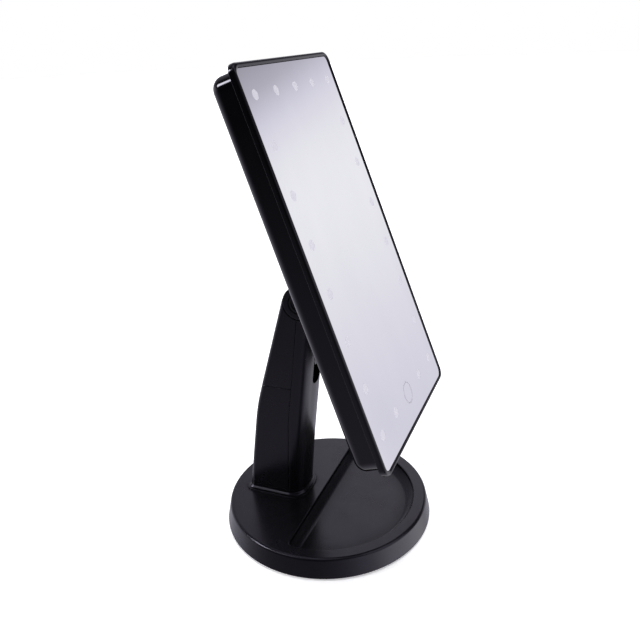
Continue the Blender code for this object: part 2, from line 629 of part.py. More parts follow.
# ---- batteries and column electrics -----------------------------------------------
def build_battery_bay():
    bay = empty("battery_bay", BAY_CENTRE, BAY_LEAN)
    half_x = 10.6 * MM
    wall = 1.2 * MM
    front = -11.6 * MM
    depth = 11.8 * MM
    top = BAY_HALF_HEIGHT
    outline = [(front, -top), (depth, -top), (depth, -top + wall), (front + wall, -top + wall),
               (front + wall, top - wall), (depth, top - wall), (depth, top), (front, top)]
    tray = slab("battery_tray", outline, -half_x, half_x, "X")
    finish(tray, "battery_tray", INNER_PLASTIC, bay, smooth=False)

    plate_z = top - wall - 0.2 * MM
    plate = 0.4 * MM
    half_cell = CELL_LENGTH / 2
    rows = (-4.6 * MM, -4.6 * MM + CELL_PITCH)
    for side, x in (("left", -CELL_PITCH / 2), ("right", CELL_PITCH / 2)):
        for end, z in (("top", plate_z - plate), ("bottom", -plate_z)):
            low = (x - 4 * MM, rows[0] - 4 * MM, z)
            high = (x + 4 * MM, rows[1] + 4 * MM, z + plate)
            name = "contact_" + end + "_" + side
            finish(box(name, low, high), name, STEEL, bay, smooth=False)

    profile = [(0, half_cell + CELL_NUB), (1.9 * MM, half_cell + CELL_NUB), (1.9 * MM, half_cell)]
    profile += [(CELL_RADIUS - 0.5 * MM, half_cell), (CELL_RADIUS, half_cell - 0.5 * MM)]
    profile += [(CELL_RADIUS, -half_cell + 0.4 * MM), (CELL_RADIUS - 0.4 * MM, -half_cell), (0, -half_cell)]
    number = 0
    for row, y in enumerate(rows):
        for side, x in enumerate((-CELL_PITCH / 2, CELL_PITCH / 2)):
            number += 1
            upright = (row + side) % 2 == 0
            cell = turned("cell_" + str(number), profile, 16)
            finish(cell, "cell_" + str(number), CELL_SLEEVE, bay)
            cell.location = (x, y, 0)
            cell.rotation_euler = (0 if upright else math.pi, 0, 0)
            low = -plate_z + plate + 0.2 * MM
            coil = spring("contact_spring_" + str(number), 2.6 * MM, low, -half_cell - 0.2 * MM)
            finish(coil, "contact_spring_" + str(number), STEEL, bay, smooth=False)
            coil.location = (x, y, 0)
            coil.rotation_euler = (0 if upright else math.pi, 0, 0)


def spring(name, radius, low, high):
    """A short coil from low to high, made of thin wire."""
    wire = 0.25 * MM
    turns = 2
    per_turn = 10
    curve = bpy.data.curves.new(name, "CURVE")
    curve.dimensions = "3D"
    curve.bevel_depth = wire
    curve.bevel_resolution = 0
    curve.use_fill_caps = True
    path = curve.splines.new("POLY")
    count = turns * per_turn + 1
    path.points.add(count - 1)
    for index in range(count):
        angle = 2 * math.pi * index / per_turn
        z = low + wire + (high - low - 2 * wire) * index / (count - 1)
        path.points[index].co = (radius * math.cos(angle), radius * math.sin(angle), z, 1)
    obj = bpy.data.objects.new(name, curve)
    bpy.context.scene.collection.objects.link(obj)
    return obj


def cable(name, points, radius, parent=None):
    curve = bpy.data.curves.new(name, "CURVE")
    curve.dimensions = "3D"
    curve.bevel_depth = radius
    curve.bevel_resolution = 1
    curve.use_fill_caps = True
    curve.resolution_u = 4
    path = curve.splines.new("BEZIER")
    path.bezier_points.add(len(points) - 1)
    for point, where in zip(path.bezier_points, points):
        point.co = where
        point.handle_left_type = "AUTO"
        point.handle_right_type = "AUTO"
    obj = bpy.data.objects.new(name, curve)
    bpy.context.scene.collection.objects.link(obj)
    return finish(obj, name, CABLE, parent, smooth=False)


def build_switch(frame):
    """The slide switch behind the slot; the knob rests at the slot's upper end."""
    rest = SLOT_LENGTH / 2 - KNOB_HALF - 0.4 * MM
    knob_frame = empty("switch_knob_frame", (0, 0, rest))
    knob_frame.parent = frame
    outline = rounded_outline(SLOT_WIDTH / 2 - GAP, KNOB_HALF, 3.6 * MM, 3)
    knob = slab("switch_knob", outline, -0.1 * MM, KNOB_BACK, "Y")
    flange = box("knob_flange", (-6.6 * MM, FLANGE_FRONT, -9.5 * MM), (6.6 * MM, FLANGE_BACK, 8.0 * MM))
    boolean(knob, tool(flange, "knob_flange", knob_frame), "UNION")
    for index in range(3):
        z = (index - 1) * 3.2 * MM
        rib = rod("knob_rib", 0.6 * MM, (-3.6 * MM, -0.1 * MM, z), (3.6 * MM, -0.1 * MM, z), 10)
        boolean(knob, tool(rib, "knob_rib_" + str(index), knob_frame), "UNION")
    lug_half = 1.5 * MM
    lug_back = 5.4 * MM
    lug = box("knob_lug", (-lug_half, FLANGE_BACK - GAP, -lug_half), (lug_half, lug_back, lug_half))
    boolean(knob, tool(lug, "knob_lug", knob_frame), "UNION")
    finish(knob, "switch_knob", GLOSS_BLACK, knob_frame)

    body = box("switch_body", (-6 * MM, SWITCH_BODY_FRONT, -8 * MM), (6 * MM, SWITCH_BODY_BACK, 11 * MM))
    room = lug_half + 0.5 * MM
    track = box("switch_track", (-lug_half - 0.4 * MM, SWITCH_BODY_FRONT - GAP, rest - SWITCH_TRAVEL - room),
                (lug_half + 0.4 * MM, lug_back + 0.5 * MM, rest + room))
    boolean(body, tool(track, "switch_track", frame), "DIFFERENCE")
    finish(body, "switch_body", INNER_PLASTIC, frame, smooth=False)


def build_column_wiring():
    points = [(0, 17.5 * MM, 76.0 * MM), (7.5 * MM, 18.5 * MM, 88 * MM), (2.0 * MM, 16.5 * MM, 101 * MM),
              (0, 13.5 * MM, 113 * MM), (0, 9.5 * MM, 122.5 * MM)]
    cable("column_cable", points, 1.0 * MM)


# ---- hinge ------------------------------------------------------------------------
def build_hinge(head):
    """Fork on the head, pin, washers and caps; everything is drawn about the tilt axis."""
    plate_front = HEAD_FRONT + HEAD_DEPTH + GAP
    plate_back = plate_front + PLATE_THICK
    outline = rounded_outline(PLATE_HALF_X, PLATE_HALF_Z, 4 * MM, 4)
    bracket = slab("hinge_bracket", outline, plate_front, plate_back, "Y")
    for side in (-1, 1):
        inner, outer = sorted((side * FORK_INNER, side * COLUMN_HALF))
        arm = box("fork_arm", (inner, plate_front + MM, -ARM_HALF), (outer, 0, ARM_HALF))
        boolean(bracket, tool(arm, "fork_arm_" + str(side), head), "UNION")
        knuckle = rod("fork_knuckle", KNUCKLE_RADIUS, (inner, 0, 0), (outer, 0, 0), 32)
        boolean(bracket, tool(knuckle, "fork_knuckle_" + str(side), head), "UNION")
        narrow = ARM_HALF - 0.2 * MM
        outline = [(plate_front + MM, -WEB_HALF), (plate_front + MM, WEB_HALF),
                   (-WEB_START, narrow), (-WEB_START, -narrow)]
        web = slab("fork_web", outline, inner + 1.5 * MM, outer - 1.5 * MM, "X")
        boolean(bracket, tool(web, "fork_web_" + str(side), head), "UNION")
        recess = rod("cap_recess", CAP_RADIUS + 0.2 * MM, (side * (COLUMN_HALF - 1.5 * MM), 0, 0),
                     (side * SIDE_REACH, 0, 0), 24)
        boolean(bracket, tool(recess, "cap_recess_" + str(side), head), "DIFFERENCE")
    bore = rod("fork_bore", PIN_RADIUS + GAP, (-SIDE_REACH, 0, 0), (SIDE_REACH, 0, 0), 16)
    boolean(bracket, tool(bore, "fork_bore", head), "DIFFERENCE")

    screw = screw_mesh("bracket_screw", 2.6 * MM, 1.2 * MM, 1.2 * MM, 6.5 * MM)
    for number, (x, z) in enumerate(bracket_screw_places(), 1):
        hole = rod("bracket_hole", PILOT, (x, HEAD_FRONT, z), (x, 0, z), 12)
        boolean(bracket, tool(hole, "bracket_hole_" + str(number), head), "DIFFERENCE")
        well = rod("bracket_well", 2.9 * MM, (x, plate_back - 1.3 * MM, z), (x, 0, z), 16)
        boolean(bracket, tool(well, "bracket_well_" + str(number), head), "DIFFERENCE")
        seat = (x, plate_back - 1.2 * MM, z)
        place_screw("bracket_screw_" + str(number), screw, seat, HEAD_BACK, head)
    finish(bracket, "hinge_bracket", GLOSS_BLACK, head)

    pin_half = COLUMN_HALF - 1.9 * MM
    pin = rod("hinge_pin", PIN_RADIUS, (-pin_half, 0, 0), (pin_half, 0, 0), 16)
    finish(pin, "hinge_pin", STEEL, head)
    for label, side in (("left", -1), ("right", 1)):
        face = side * (COLUMN_HALF - 0.2 * MM)
        cap = rod("hinge_cap", CAP_RADIUS, (side * (COLUMN_HALF - 1.3 * MM), 0, 0), (face, 0, 0), 24,
                  radius_end=CAP_RADIUS - 0.4 * MM)
        dish = rod("cap_dish", CAP_RADIUS - 2.6 * MM, (face - side * 0.5 * MM, 0, 0), (face + side * MM, 0, 0),
                   24, radius_end=CAP_RADIUS - 0.8 * MM)
        boolean(cap, tool(dish, "cap_dish_" + label, head), "DIFFERENCE")
        finish(cap, "hinge_cap_" + label, GLOSS_BLACK, head)
        near = side * (CENTRE_KNUCKLE_HALF + 0.2 * MM)
        far = side * (FORK_INNER - 0.2 * MM)
        washer = rod("friction_washer", 6.8 * MM, (near, 0, 0), (far, 0, 0), 20)
        hole = rod("washer_hole", PIN_RADIUS + GAP, (side * MM, 0, 0), (side * SIDE_REACH, 0, 0), 16)
        boolean(washer, tool(hole, "washer_hole_" + label, head), "DIFFERENCE")
        finish(washer, "friction_washer_" + label, RUBBER, head)


# ---- mirror head ------------------------------------------------------------------
def housing_screw_places():
    return [(x, HEAD_RISE + z) for x in (-HOUSING_SCREW_X, HOUSING_SCREW_X)
            for z in (-HOUSING_SCREW_Z, HOUSING_SCREW_Z)]


def bracket_screw_places():
    return [(x, z) for x in (-BRACKET_SCREW_X, BRACKET_SCREW_X)
            for z in (-BRACKET_SCREW_Z, BRACKET_SCREW_Z)]


def head_slab(name, half_x, half_z, corner, low, high, steps=4):
    """A rounded slab in the head's frame, centred on the mirror; low and high are along Y."""
    outline = [(x, z + HEAD_RISE) for x, z in rounded_outline(half_x, half_z, corner, steps)]
    return slab(name, outline, low, high, "Y")


def build_bezel(head):
    half_x, half_z = HEAD_WIDTH / 2, HEAD_HEIGHT / 2
    back = HEAD_FRONT + BEZEL_DEPTH
    bezel = head_slab("front_bezel", half_x, half_z, HEAD_CORNER, HEAD_FRONT, back)
    bevel = bezel.modifiers.new("rounded_edges", "BEVEL")
    bevel.width = 0.7 * MM
    bevel.segments = 2
    bevel.limit_method = "ANGLE"
    bevel.angle_limit = math.radians(60)
    opening = head_slab("glass_opening", half_x - BEZEL_RIM, half_z - BEZEL_RIM, HEAD_CORNER - 1.5 * MM,
                        HEAD_FRONT - DEEP, back - LEDGE_THICK)
    boolean(bezel, tool(opening, "glass_opening", head), "DIFFERENCE")
    window = head_slab("ledge_opening", half_x - BEZEL_LEDGE, half_z - BEZEL_LEDGE, 3 * MM,
                       HEAD_FRONT - DEEP, back + DEEP, 3)
    boolean(bezel, tool(window, "ledge_opening", head), "DIFFERENCE")
    lip_x = half_x - HOUSING_INSET - HOUSING_WALL - GAP
    lip_z = half_z - HOUSING_INSET - HOUSING_WALL - GAP
    lip_corner = HOUSING_CORNER - HOUSING_WALL - GAP
    lip = head_slab("snap_lip", lip_x, lip_z, lip_corner, back - 0.4 * MM, back + SNAP_LIP, 4)
    room = head_slab("snap_lip_room", lip_x - LIP_THICK, lip_z - LIP_THICK, lip_corner - LIP_THICK,
                     back - DEEP, back + DEEP, 4)
    boolean(lip, tool(room, "snap_lip_room", head), "DIFFERENCE")
    boolean(bezel, tool(lip, "snap_lip", head), "UNION")
    finish(bezel, "front_bezel", GLOSS_BLACK, head)

    rim = BEZEL_RIM + 0.2 * MM
    glass_front = HEAD_FRONT + 0.2 * MM
    glass = head_slab("mirror_glass", half_x - rim, half_z - rim, HEAD_CORNER - 1.7 * MM,
                      glass_front, glass_front + GLASS_THICK)
    finish(glass, "mirror_glass", MIRROR, head, smooth=False)


def build_housing(head):
    """Rear housing: side walls and a back panel joined by a wide rounding."""
    half_x, half_z = HEAD_WIDTH / 2 - HOUSING_INSET, HEAD_HEIGHT / 2 - HOUSING_INSET
    front = HEAD_FRONT + BEZEL_DEPTH + GAP
    back = HEAD_FRONT + HEAD_DEPTH
    levels = [(front, 0.0)]
    for offset, y in arc((HOUSING_BACK_ROUND, back - HOUSING_BACK_ROUND), HOUSING_BACK_ROUND, 180, 90, 4):
        levels.append((y, offset))
    bm = bmesh.new()
    loops = []
    for y, inset in levels:
        outline = rounded_outline(half_x - inset, half_z - inset, HOUSING_CORNER - inset, 4)
        loops.append([bm.verts.new((x, y, z + HEAD_RISE)) for x, z in outline])
    count = len(loops[0])
    for near, far in zip(loops, loops[1:]):
        for i in range(count):
            j = (i + 1) % count
            bm.faces.new((near[i], near[j], far[j], far[i]))
    bm.faces.new(loops[-1])
    bmesh.ops.recalc_face_normals(bm, faces=bm.faces)
    housing = mesh_object("rear_housing", bm)
    wall = housing.modifiers.new("wall", "SOLIDIFY")
    wall.thickness = HOUSING_WALL
    wall.offset = -1
    for index, (x, z) in enumerate(housing_screw_places()):
        boss = rod("housing_boss", 4.0 * MM, (x, CARRIER_POST_Y + GAP, z), (x, back - MM, z), 16)
        boolean(housing, tool(boss, "housing_boss_" + str(index), head), "UNION")
        well = rod("housing_well", 2.8 * MM, (x, HOUSING_SEAT_Y, z), (x, 0, z), 16)
        boolean(housing, tool(well, "housing_well_" + str(index), head), "DIFFERENCE")
        hole = rod("housing_hole", PILOT, (x, HEAD_FRONT, z), (x, 0, z), 12)
        boolean(housing, tool(hole, "housing_hole_" + str(index), head), "DIFFERENCE")
    for number, (x, z) in enumerate(bracket_screw_places(), 1):
        boss = rod("bracket_boss", 3.2 * MM, (x, back - 4.0 * MM, z), (x, back - MM, z), 12)
        boolean(housing, tool(boss, "bracket_boss_" + str(number), head), "UNION")
        hole = rod("thread_hole", PILOT, (x, HEAD_FRONT, z), (x, 0, z), 12)
        boolean(housing, tool(hole, "thread_hole_" + str(number), head), "DIFFERENCE")
    finish(housing, "rear_housing", GLOSS_BLACK, head)

    screw = screw_mesh("housing_screw", 2.5 * MM, 1.2 * MM, 1.0 * MM, 6.5 * MM)
    for index, (x, z) in enumerate(housing_screw_places()):
        seat = (x, HOUSING_SEAT_Y + 0.1 * MM, z)
        place_screw("housing_screw_" + str(index + 1), screw, seat, HEAD_BACK, head)


def led_positions(columns, rows):
    """Lamp centres (x, z) in the head's frame for the given grid columns and rows."""
    places = []
    for row in rows:
        for column in columns:
            x = (column - (LED_COLUMNS - 1) / 2) * LED_PITCH_X
            z = HEAD_RISE + LED_SHIFT + ((LED_ROWS - 1) / 2 - row) * LED_PITCH_Z
            places.append((x, z))
    return places


def build_lamps(head):
    diffuser_front = HEAD_FRONT + DIFFUSER_BACK_SET
    last = LED_ROWS - 1
    touch_x, touch_z = led_positions([2], [last])[0]
    panel = head_slab("light_diffuser", HEAD_WIDTH / 2 - BEZEL_LEDGE - 0.4 * MM,
                      HEAD_HEIGHT / 2 - BEZEL_LEDGE - 2.8 * MM, 2.6 * MM, diffuser_front,
                      diffuser_front + DIFFUSER_THICK, 3)
    hole = rod("touch_hole", TOUCH_RADIUS + 0.8 * MM, (touch_x, HEAD_FRONT, touch_z),
               (touch_x, 0, touch_z), 24)
    boolean(panel, tool(hole, "touch_hole", head), "DIFFERENCE")
    finish(panel, "light_diffuser", DIFFUSER, head, smooth=False)
    pad = rod("touch_sensor", TOUCH_RADIUS, (touch_x, diffuser_front, touch_z),
              (touch_x, diffuser_front + 0.6 * MM, touch_z), 24)
    finish(pad, "touch_sensor", COPPER, head)

    board_front = diffuser_front + DIFFUSER_THICK + 1.0 * MM
    board_back = board_front + BOARD_THICK
    side_half = LED_PITCH_Z * (LED_ROWS - 1) / 2 + 4 * MM
    middle_z = HEAD_RISE + LED_SHIFT
    strips = {}
    for label, column in (("left", 0), ("right", LED_COLUMNS - 1)):
        x = led_positions([column], [0])[0][0]
        strip = box("led_strip_" + label, (x - STRIP_HALF, board_front, middle_z - side_half),
                    (x + STRIP_HALF, board_back, middle_z + side_half))
        strips[label] = (strip, led_positions([column], range(LED_ROWS)))
    inner_half = LED_PITCH_X * 2 - STRIP_HALF - 0.7 * MM
    for label, row, columns in (("top", 0, (1, 2, 3)), ("bottom", last, (1, 3))):
        z = led_positions([0], [row])[0][1]
        strip = box("led_strip_" + label, (-inner_half, board_front, z - STRIP_HALF),
                    (inner_half, board_back, z + STRIP_HALF))
        strips[label] = (strip, led_positions(columns, [row]))
    for label, (strip, places) in strips.items():
        for index, (x, z) in enumerate(places):
            lamp = box("lamp", (x - 1.75 * MM, board_front - 0.7 * MM, z - 1.4 * MM),
                       (x + 1.75 * MM, board_front + 0.4 * MM, z + 1.4 * MM))
            boolean(strip, tool(lamp, "lamp_" + label + "_" + str(index), head), "UNION")
        finish(strip, "led_strip_" + label, BOARD, head, smooth=False)

    plate_front = board_back + GAP
    plate = head_slab("led_carrier_plate", CARRIER_HALF_X, CARRIER_HALF_Z, 3 * MM,
                      plate_front, plate_front + 1.2 * MM, 2)
    for index, (x, z) in enumerate(housing_screw_places()):
        post = rod("carrier_post", 2.6 * MM, (x, plate_front + 0.5 * MM, z), (x, CARRIER_POST_Y, z), 12)
        boolean(plate, tool(post, "carrier_post_" + str(index), head), "UNION")
        hole = rod("carrier_hole", 1.3 * MM, (x, plate_front + MM, z), (x, 0, z), 8)
        boolean(plate, tool(hole, "carrier_hole_" + str(index), head), "DIFFERENCE")
    finish(plate, "led_carrier_plate", INNER_PLASTIC, head, smooth=False)

    driver_front = plate_front + 2.0 * MM
    driver = box("control_board", (-14 * MM, driver_front, -66 * MM),
                 (14 * MM, driver_front + 1.2 * MM, -30 * MM))
    chips = ((-8, -60, 8, 8, 1.4), (4, -58, 6, 5, 1.2), (-6, -42, 5, 5, 3.0), (6, -40, 7, 6, 2.4))
    for index, (x, z, wide, tall, high) in enumerate(chips):
        chip = box("chip", (x * MM - wide * MM / 2, driver_front + 0.6 * MM, z * MM - tall * MM / 2),
                   (x * MM + wide * MM / 2, driver_front + (1.2 + high) * MM, z * MM + tall * MM / 2))
        boolean(driver, tool(chip, "chip_" + str(index), head), "UNION")
    finish(driver, "control_board", BOARD, head, smooth=False)

    start = driver_front + 2.6 * MM
    points = [(0, start, -33 * MM), (0, start + 0.8 * MM, -20 * MM), (0, start + 1.0 * MM, -8 * MM)]
    cable("head_cable", points, 0.9 * MM, head)


# ---- assembly ---------------------------------------------------------------------
build_base()
switch_frame = build_column()
build_battery_bay()
build_switch(switch_frame)
build_column_wiring()

shell_screw = screw_mesh("shell_screw", 2.5 * MM, 1.2 * MM, 1.2 * MM, 7.0 * MM)
for number, x in enumerate((-SHELL_SCREW_X, SHELL_SCREW_X), 1):
    seat = (x, SHELL_SEAT_Y + 0.1 * MM, SHELL_SCREW_Z)
    place_screw("shell_screw_" + str(number), shell_screw, seat, HEAD_BACK)

tilt_axis = empty("tilt_axis", (0, AXIS_Y, AXIS_Z), -TILT)
build_hinge(tilt_axis)
build_bezel(tilt_axis)
build_housing(tilt_axis)
build_lamps(tilt_axis)
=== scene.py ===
"""Looks of the lighted make-up mirror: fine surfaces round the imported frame,
materials, a plain pale studio and the camera. Everything is in metres."""

import json
import math

import bmesh
import bpy
from mathutils import Matrix, Vector
from mathutils.geometry import delaunay_2d_cdt


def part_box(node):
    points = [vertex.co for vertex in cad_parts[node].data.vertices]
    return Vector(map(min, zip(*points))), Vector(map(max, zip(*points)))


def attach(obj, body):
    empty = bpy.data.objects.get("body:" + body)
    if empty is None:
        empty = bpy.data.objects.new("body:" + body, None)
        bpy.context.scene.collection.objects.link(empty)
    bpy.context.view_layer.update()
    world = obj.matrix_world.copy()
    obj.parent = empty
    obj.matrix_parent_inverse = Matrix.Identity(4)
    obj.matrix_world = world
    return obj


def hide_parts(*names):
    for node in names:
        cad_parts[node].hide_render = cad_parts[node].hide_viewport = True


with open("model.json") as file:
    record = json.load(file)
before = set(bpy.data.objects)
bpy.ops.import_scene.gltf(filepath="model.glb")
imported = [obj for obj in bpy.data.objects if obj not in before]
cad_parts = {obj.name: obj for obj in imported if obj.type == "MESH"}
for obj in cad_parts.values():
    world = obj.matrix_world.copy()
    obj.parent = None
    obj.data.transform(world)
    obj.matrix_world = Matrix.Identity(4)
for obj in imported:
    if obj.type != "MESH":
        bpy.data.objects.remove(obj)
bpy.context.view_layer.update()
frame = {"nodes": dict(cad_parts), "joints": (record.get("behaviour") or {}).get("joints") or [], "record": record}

MM = 0.001
nodes = frame["nodes"]
record = frame["record"]
SLOT_OF = {part["node"]: part["material_slot"] for part in record["subparts"]}
BODY_OF = {node: body for body, held in record["behaviour"]["bodies"].items() for node in held}
JOINT = {joint["name"]: joint for joint in frame["joints"]}

# ---- shapes the frame's boxes don't give ----
GAP = 0.3 * MM
COLLAR_RISE = 0.8 * MM      # the pad round the column's foot
COLLAR_MARGIN = 2.3 * MM
BASE_TAPER = 1.8 * MM       # the skirt leans in by this much
BASE_EDGE = 1.8 * MM
BASE_WALL = 2.2 * MM
TRAY_RADIUS = 52.4 * MM
TRAY_CHORD_Y = 3.5 * MM
TRAY_DEPTH = 5.0 * MM
TRAY_COVE = 6.0 * MM        # the wall turns into the floor over this width
TRAY_CORNER = 2.5 * MM
TRAY_LIP = 0.5 * MM

COLUMN_WALL = 1.7 * MM
FOOT_HEIGHT = 3.0 * MM
FRONT_CORNER = 8.0 * MM
BACK_CORNER = 3.0 * MM
FRONT_CROWN = 9.5           # degrees: where the corner's arc becomes the bulging front
SEAM_EDGE = 0.3 * MM        # rounding along the column's seams
# y and z of a soft bend, slope below it, slope above it, all seen from the side
FRONT_LINE = (9.6 * MM, 48.0 * MM, -0.103, -0.130)
BACK_LINE = (39.7 * MM, 70.0 * MM, -0.141, -0.297)
BEND_SOFTNESS = 4.0 * MM
PART_LINE = ((20.8 * MM, 12.0 * MM), (18.2 * MM, 62.0 * MM), (7.6 * MM, 141.0 * MM))
# the bead round the foot: height above the collar and reach beyond the column, in mm
FOOT_BEAD = ((0.02, 1.05), (0.12, 1.2), (0.35, 1.2), (0.6, 1.05), (1.0, 0.68), (1.35, 0.34), (1.6, 0.12),
             (1.85, 0.0))
SHOULDER_DROP = 7.1 * MM    # the front shoulder, below the tilt axis
MIDDLE_HALF = 5.4 * MM
KNUCKLE_RADIUS = 9.9 * MM
ARM_HALF = 4.2 * MM
WEB_START = 12.5 * MM
WEB_HALF = 14.0 * MM
FORK_INNER = 6.3 * MM

HEAD_CORNER = 5.5 * MM
BEZEL_RIM = 2.1 * MM
RIM_RISE = 0.8 * MM         # the rim is wider along the top
BEZEL_LEDGE = 7.2 * MM
LEDGE_THICK = 0.8 * MM
BEZEL_NOSE = 2.2 * MM       # how far back the rim's rounding reaches from its crest
RIM_CREST = 1.15 * MM
RIM_PROUD = 0.55 * MM       # the rim stands in front of the glass
SNAP_LIP = 2.4 * MM
LIP_THICK = 1.0 * MM
RIM_STEPS = 14              # in each corner of the head's outlines
HOUSING_CORNER = 7.5 * MM
HOUSING_ROUND = 6.2 * MM
HOUSING_WALL = 2.0 * MM

LAMP_PITCH = (23.34 * MM, 26.04 * MM)
LAMP_COLUMNS = 5
LAMP_ROWS = 8
LAMP_SHIFT = 0.86 * MM
LAMP_RADIUS = 2.8 * MM
TOUCH_RING = (5.3 * MM, 6.1 * MM)
ETCH_DEPTH = 0.04 * MM

SLOT_WIDTH = 11.0 * MM
SLOT_LENGTH = 28.0 * MM
SLOT_CORNER = 4.0 * MM
SWITCH_Z = 99.5 * MM
WELL_RADIUS = 2.9 * MM      # room round a screw's head
HEAD_HEIGHT = 1.2 * MM      # of most screws
COVER_HEAD_HEIGHT = 0.9 * MM
BOSS_WALL = 1.0 * MM        # round a well
BOSS_FLOOR = 1.6 * MM       # under a screw's head
FAR = 80.0 * MM             # cutters reach this far
FINE = 192                  # steps round the widest discs
SHARP_ANGLE = math.radians(32)
SAME_PLACE = 1e-6
ALL_INSIDE = 1              # delaunay_2d_cdt: every triangle inside an outline
JOIN, CUT = "UNION", "DIFFERENCE"


# ---- places read from the frame ----
def box_in(node, axes):
    """Lowest and highest corner of a CAD node in another frame."""
    back = axes.inverted()
    points = [back @ vertex.co for vertex in nodes[node].data.vertices]
    low = Vector([min(point[i] for point in points) for i in range(3)])
    high = Vector([max(point[i] for point in points) for i in range(3)])
    return low, high


def numbered(stem, count):
    return [stem + str(number) for number in range(1, count + 1)]


def middle_of(node, axes=Matrix()):
    low, high = box_in(node, axes)
    return (low + high) / 2


def axes_facing(node, origin):
    """A frame turned about X so that its -Y looks along the node's widest face."""
    widest = max(nodes[node].data.polygons, key=lambda face: face.area)
    normal = widest.normal if widest.normal.y < 0 else -widest.normal
    return Matrix.Translation(origin) @ Matrix.Rotation(-math.atan2(normal.z, -normal.y), 4, "X")


AXIS = Vector(JOINT["head_tilt"]["pos_m"])
HEAD = axes_facing("mirror_glass", AXIS)
BEZEL_LOW, BEZEL_HIGH = box_in("front_bezel", HEAD)
HEAD_HALF_X = BEZEL_HIGH.x
HEAD_HALF_Z = (BEZEL_HIGH.z - BEZEL_LOW.z) / 2
HEAD_CENTRE_Z = (BEZEL_HIGH.z + BEZEL_LOW.z) / 2
HEAD_FRONT = BEZEL_LOW.y
COLUMN_HALF = box_in("battery_door", Matrix())[1].x
COLUMN_Z0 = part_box("column_front_shell")[0].z
COLLAR_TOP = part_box("base_shell")[1].z
SHOULDER_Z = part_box("column_rear_shell")[1].z
SEAM_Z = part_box("column_rear_shell")[0].z


# ---- mesh helpers ----
def arc(centre, radius, start, end, steps):
    """Points on an arc in degrees, both ends included."""
    points = []
    for step in range(steps + 1):
        angle = math.radians(start + (end - start) * step / steps)
        points.append((centre[0] + radius * math.cos(angle), centre[1] + radius * math.sin(angle)))
    return points


def quarter(steps):
    """Angles from 0 to 90 degrees, in radians."""
    return [math.radians(90 * step / steps) for step in range(steps + 1)]


def circle(radius, z=0.0, steps=96, centre=(0.0, 0.0)):
    return [(x, y, z) for x, y in arc(centre, radius, 0, 360, steps)[:-1]]


def rounded_outline(half_x, half_y, radius, steps=12):
    """Corner-rounded rectangle about the origin, anticlockwise."""
    points = []
    for corner, (sign_x, sign_y) in enumerate(((1, 1), (-1, 1), (-1, -1), (1, -1))):
        centre = (sign_x * (half_x - radius), sign_y * (half_y - radius))
        points += arc(centre, radius, 90 * corner, 90 * corner + 90, steps)
    return points


def shrinking(half_x, half_z, corner, profile, centre_z=0.0, steps=12):
    """Rounded rectangles across Y, each shrunk by the inset of an (inset, y) pair."""
    rings = []
    for inset, y in profile:
        outline = rounded_outline(half_x - inset, half_z - inset, max(corner - inset, MM), steps)
        rings.append([(x, y, z + centre_z) for x, z in outline])
    return rings


def bridge(bm, near, far):
    """Quads between two rings of vertices."""
    for i in range(len(near)):
        j = (i + 1) % len(near)
        bm.faces.new((near[i], near[j], far[j], far[i]))


def skin(bm, rings, closed=False):
    """Quads between rings of the same count; returns the first and last ring of vertices."""
    loops = [[bm.verts.new(point) for point in ring] for ring in rings]
    for near, far in zip(loops, loops[1:]):
        bridge(bm, near, far)
    if closed:
        bridge(bm, loops[-1], loops[0])
    return loops[0], loops[-1]


def area_normal(points):
    total = Vector((0, 0, 0))
    for start, end in zip(points, points[1:] + points[:1]):
        total += start.cross(end)
    return total


def fill(bm, *loops):
    """Closes a flat region between an outline and the outlines of its holes."""
    if len(loops) == 1:
        return [bm.faces.new(loops[0])]
    normal = area_normal([vertex.co for vertex in loops[0]])
    flat = normal.rotation_difference(Vector((0, 0, 1))).to_matrix()
    vertices, regions = [], []
    for loop in loops:
        order = list(range(len(vertices), len(vertices) + len(loop)))
        vertices += loop
        if area_normal([flat @ vertex.co for vertex in loop]).z < 0:
            order.reverse()
        regions.append(order)
    painted_corner_shade = [(flat @ vertex.co).xy / MM for vertex in vertices]
    filled = delaunay_2d_cdt(painted_corner_shade, [], regions, ALL_INSIDE, SAME_PLACE, True)
    _, _, triangles, sources, _, inside = filled
    made = []
    for triangle, covered in zip(triangles, inside):
        if covered == [0]:
            made.append(bm.faces.new([vertices[sources[i][0]] for i in triangle]))
    return made


def lathe(bm, profile, place=Matrix(), steps=96):
    """A profile in (radius, z), from pole to pole, spun about the place's Z axis."""
    rings = []
    for radius, z in profile:
        points = circle(radius, z, steps) if radius > 0 else [(0, 0, z)]
        rings.append([bm.verts.new(place @ Vector(point)) for point in points])
    for near, far in zip(rings, rings[1:]):
        for i in range(steps):
            j = (i + 1) % steps
            ends = (near[i % len(near)], near[j % len(near)], far[j % len(far)], far[i % len(far)])
            bm.faces.new(list(dict.fromkeys(ends)))


def add(name, data):
    obj = bpy.data.objects.new(name, data)
    bpy.context.scene.collection.objects.link(obj)
    return obj


def to_object(name, bm, place=None):
    bmesh.ops.recalc_face_normals(bm, faces=bm.faces)
    mesh = bpy.data.meshes.new(name)
    bm.to_mesh(mesh)
    bm.free()
    if place is not None:
        mesh.transform(place)
    return add(name, mesh)


def turned(name, profile, turn=Matrix(), steps=96, place=None):
    bm = bmesh.new()
    lathe(bm, profile, turn, steps)
    return to_object(name, bm, place)


def loft(name, rings, place=None):
    """A closed solid: rings skinned in their order, with both ends filled."""
    bm = bmesh.new()
    for end in skin(bm, rings):
        fill(bm, end)
    return to_object(name, bm, place)


def shaft(name, radius, start, end, place=Matrix(), steps=64):
    """A plain cylinder between two points, used to join or to cut."""
    start, end = Vector(start), Vector(end)
    turn = Vector((0, 0, 1)).rotation_difference(end - start).to_matrix().to_4x4()
    length = (end - start).length
    profile = [(0, 0), (radius, 0), (radius, length), (0, length)]
    return turned(name, profile, Matrix.Translation(start) @ turn, steps, place)


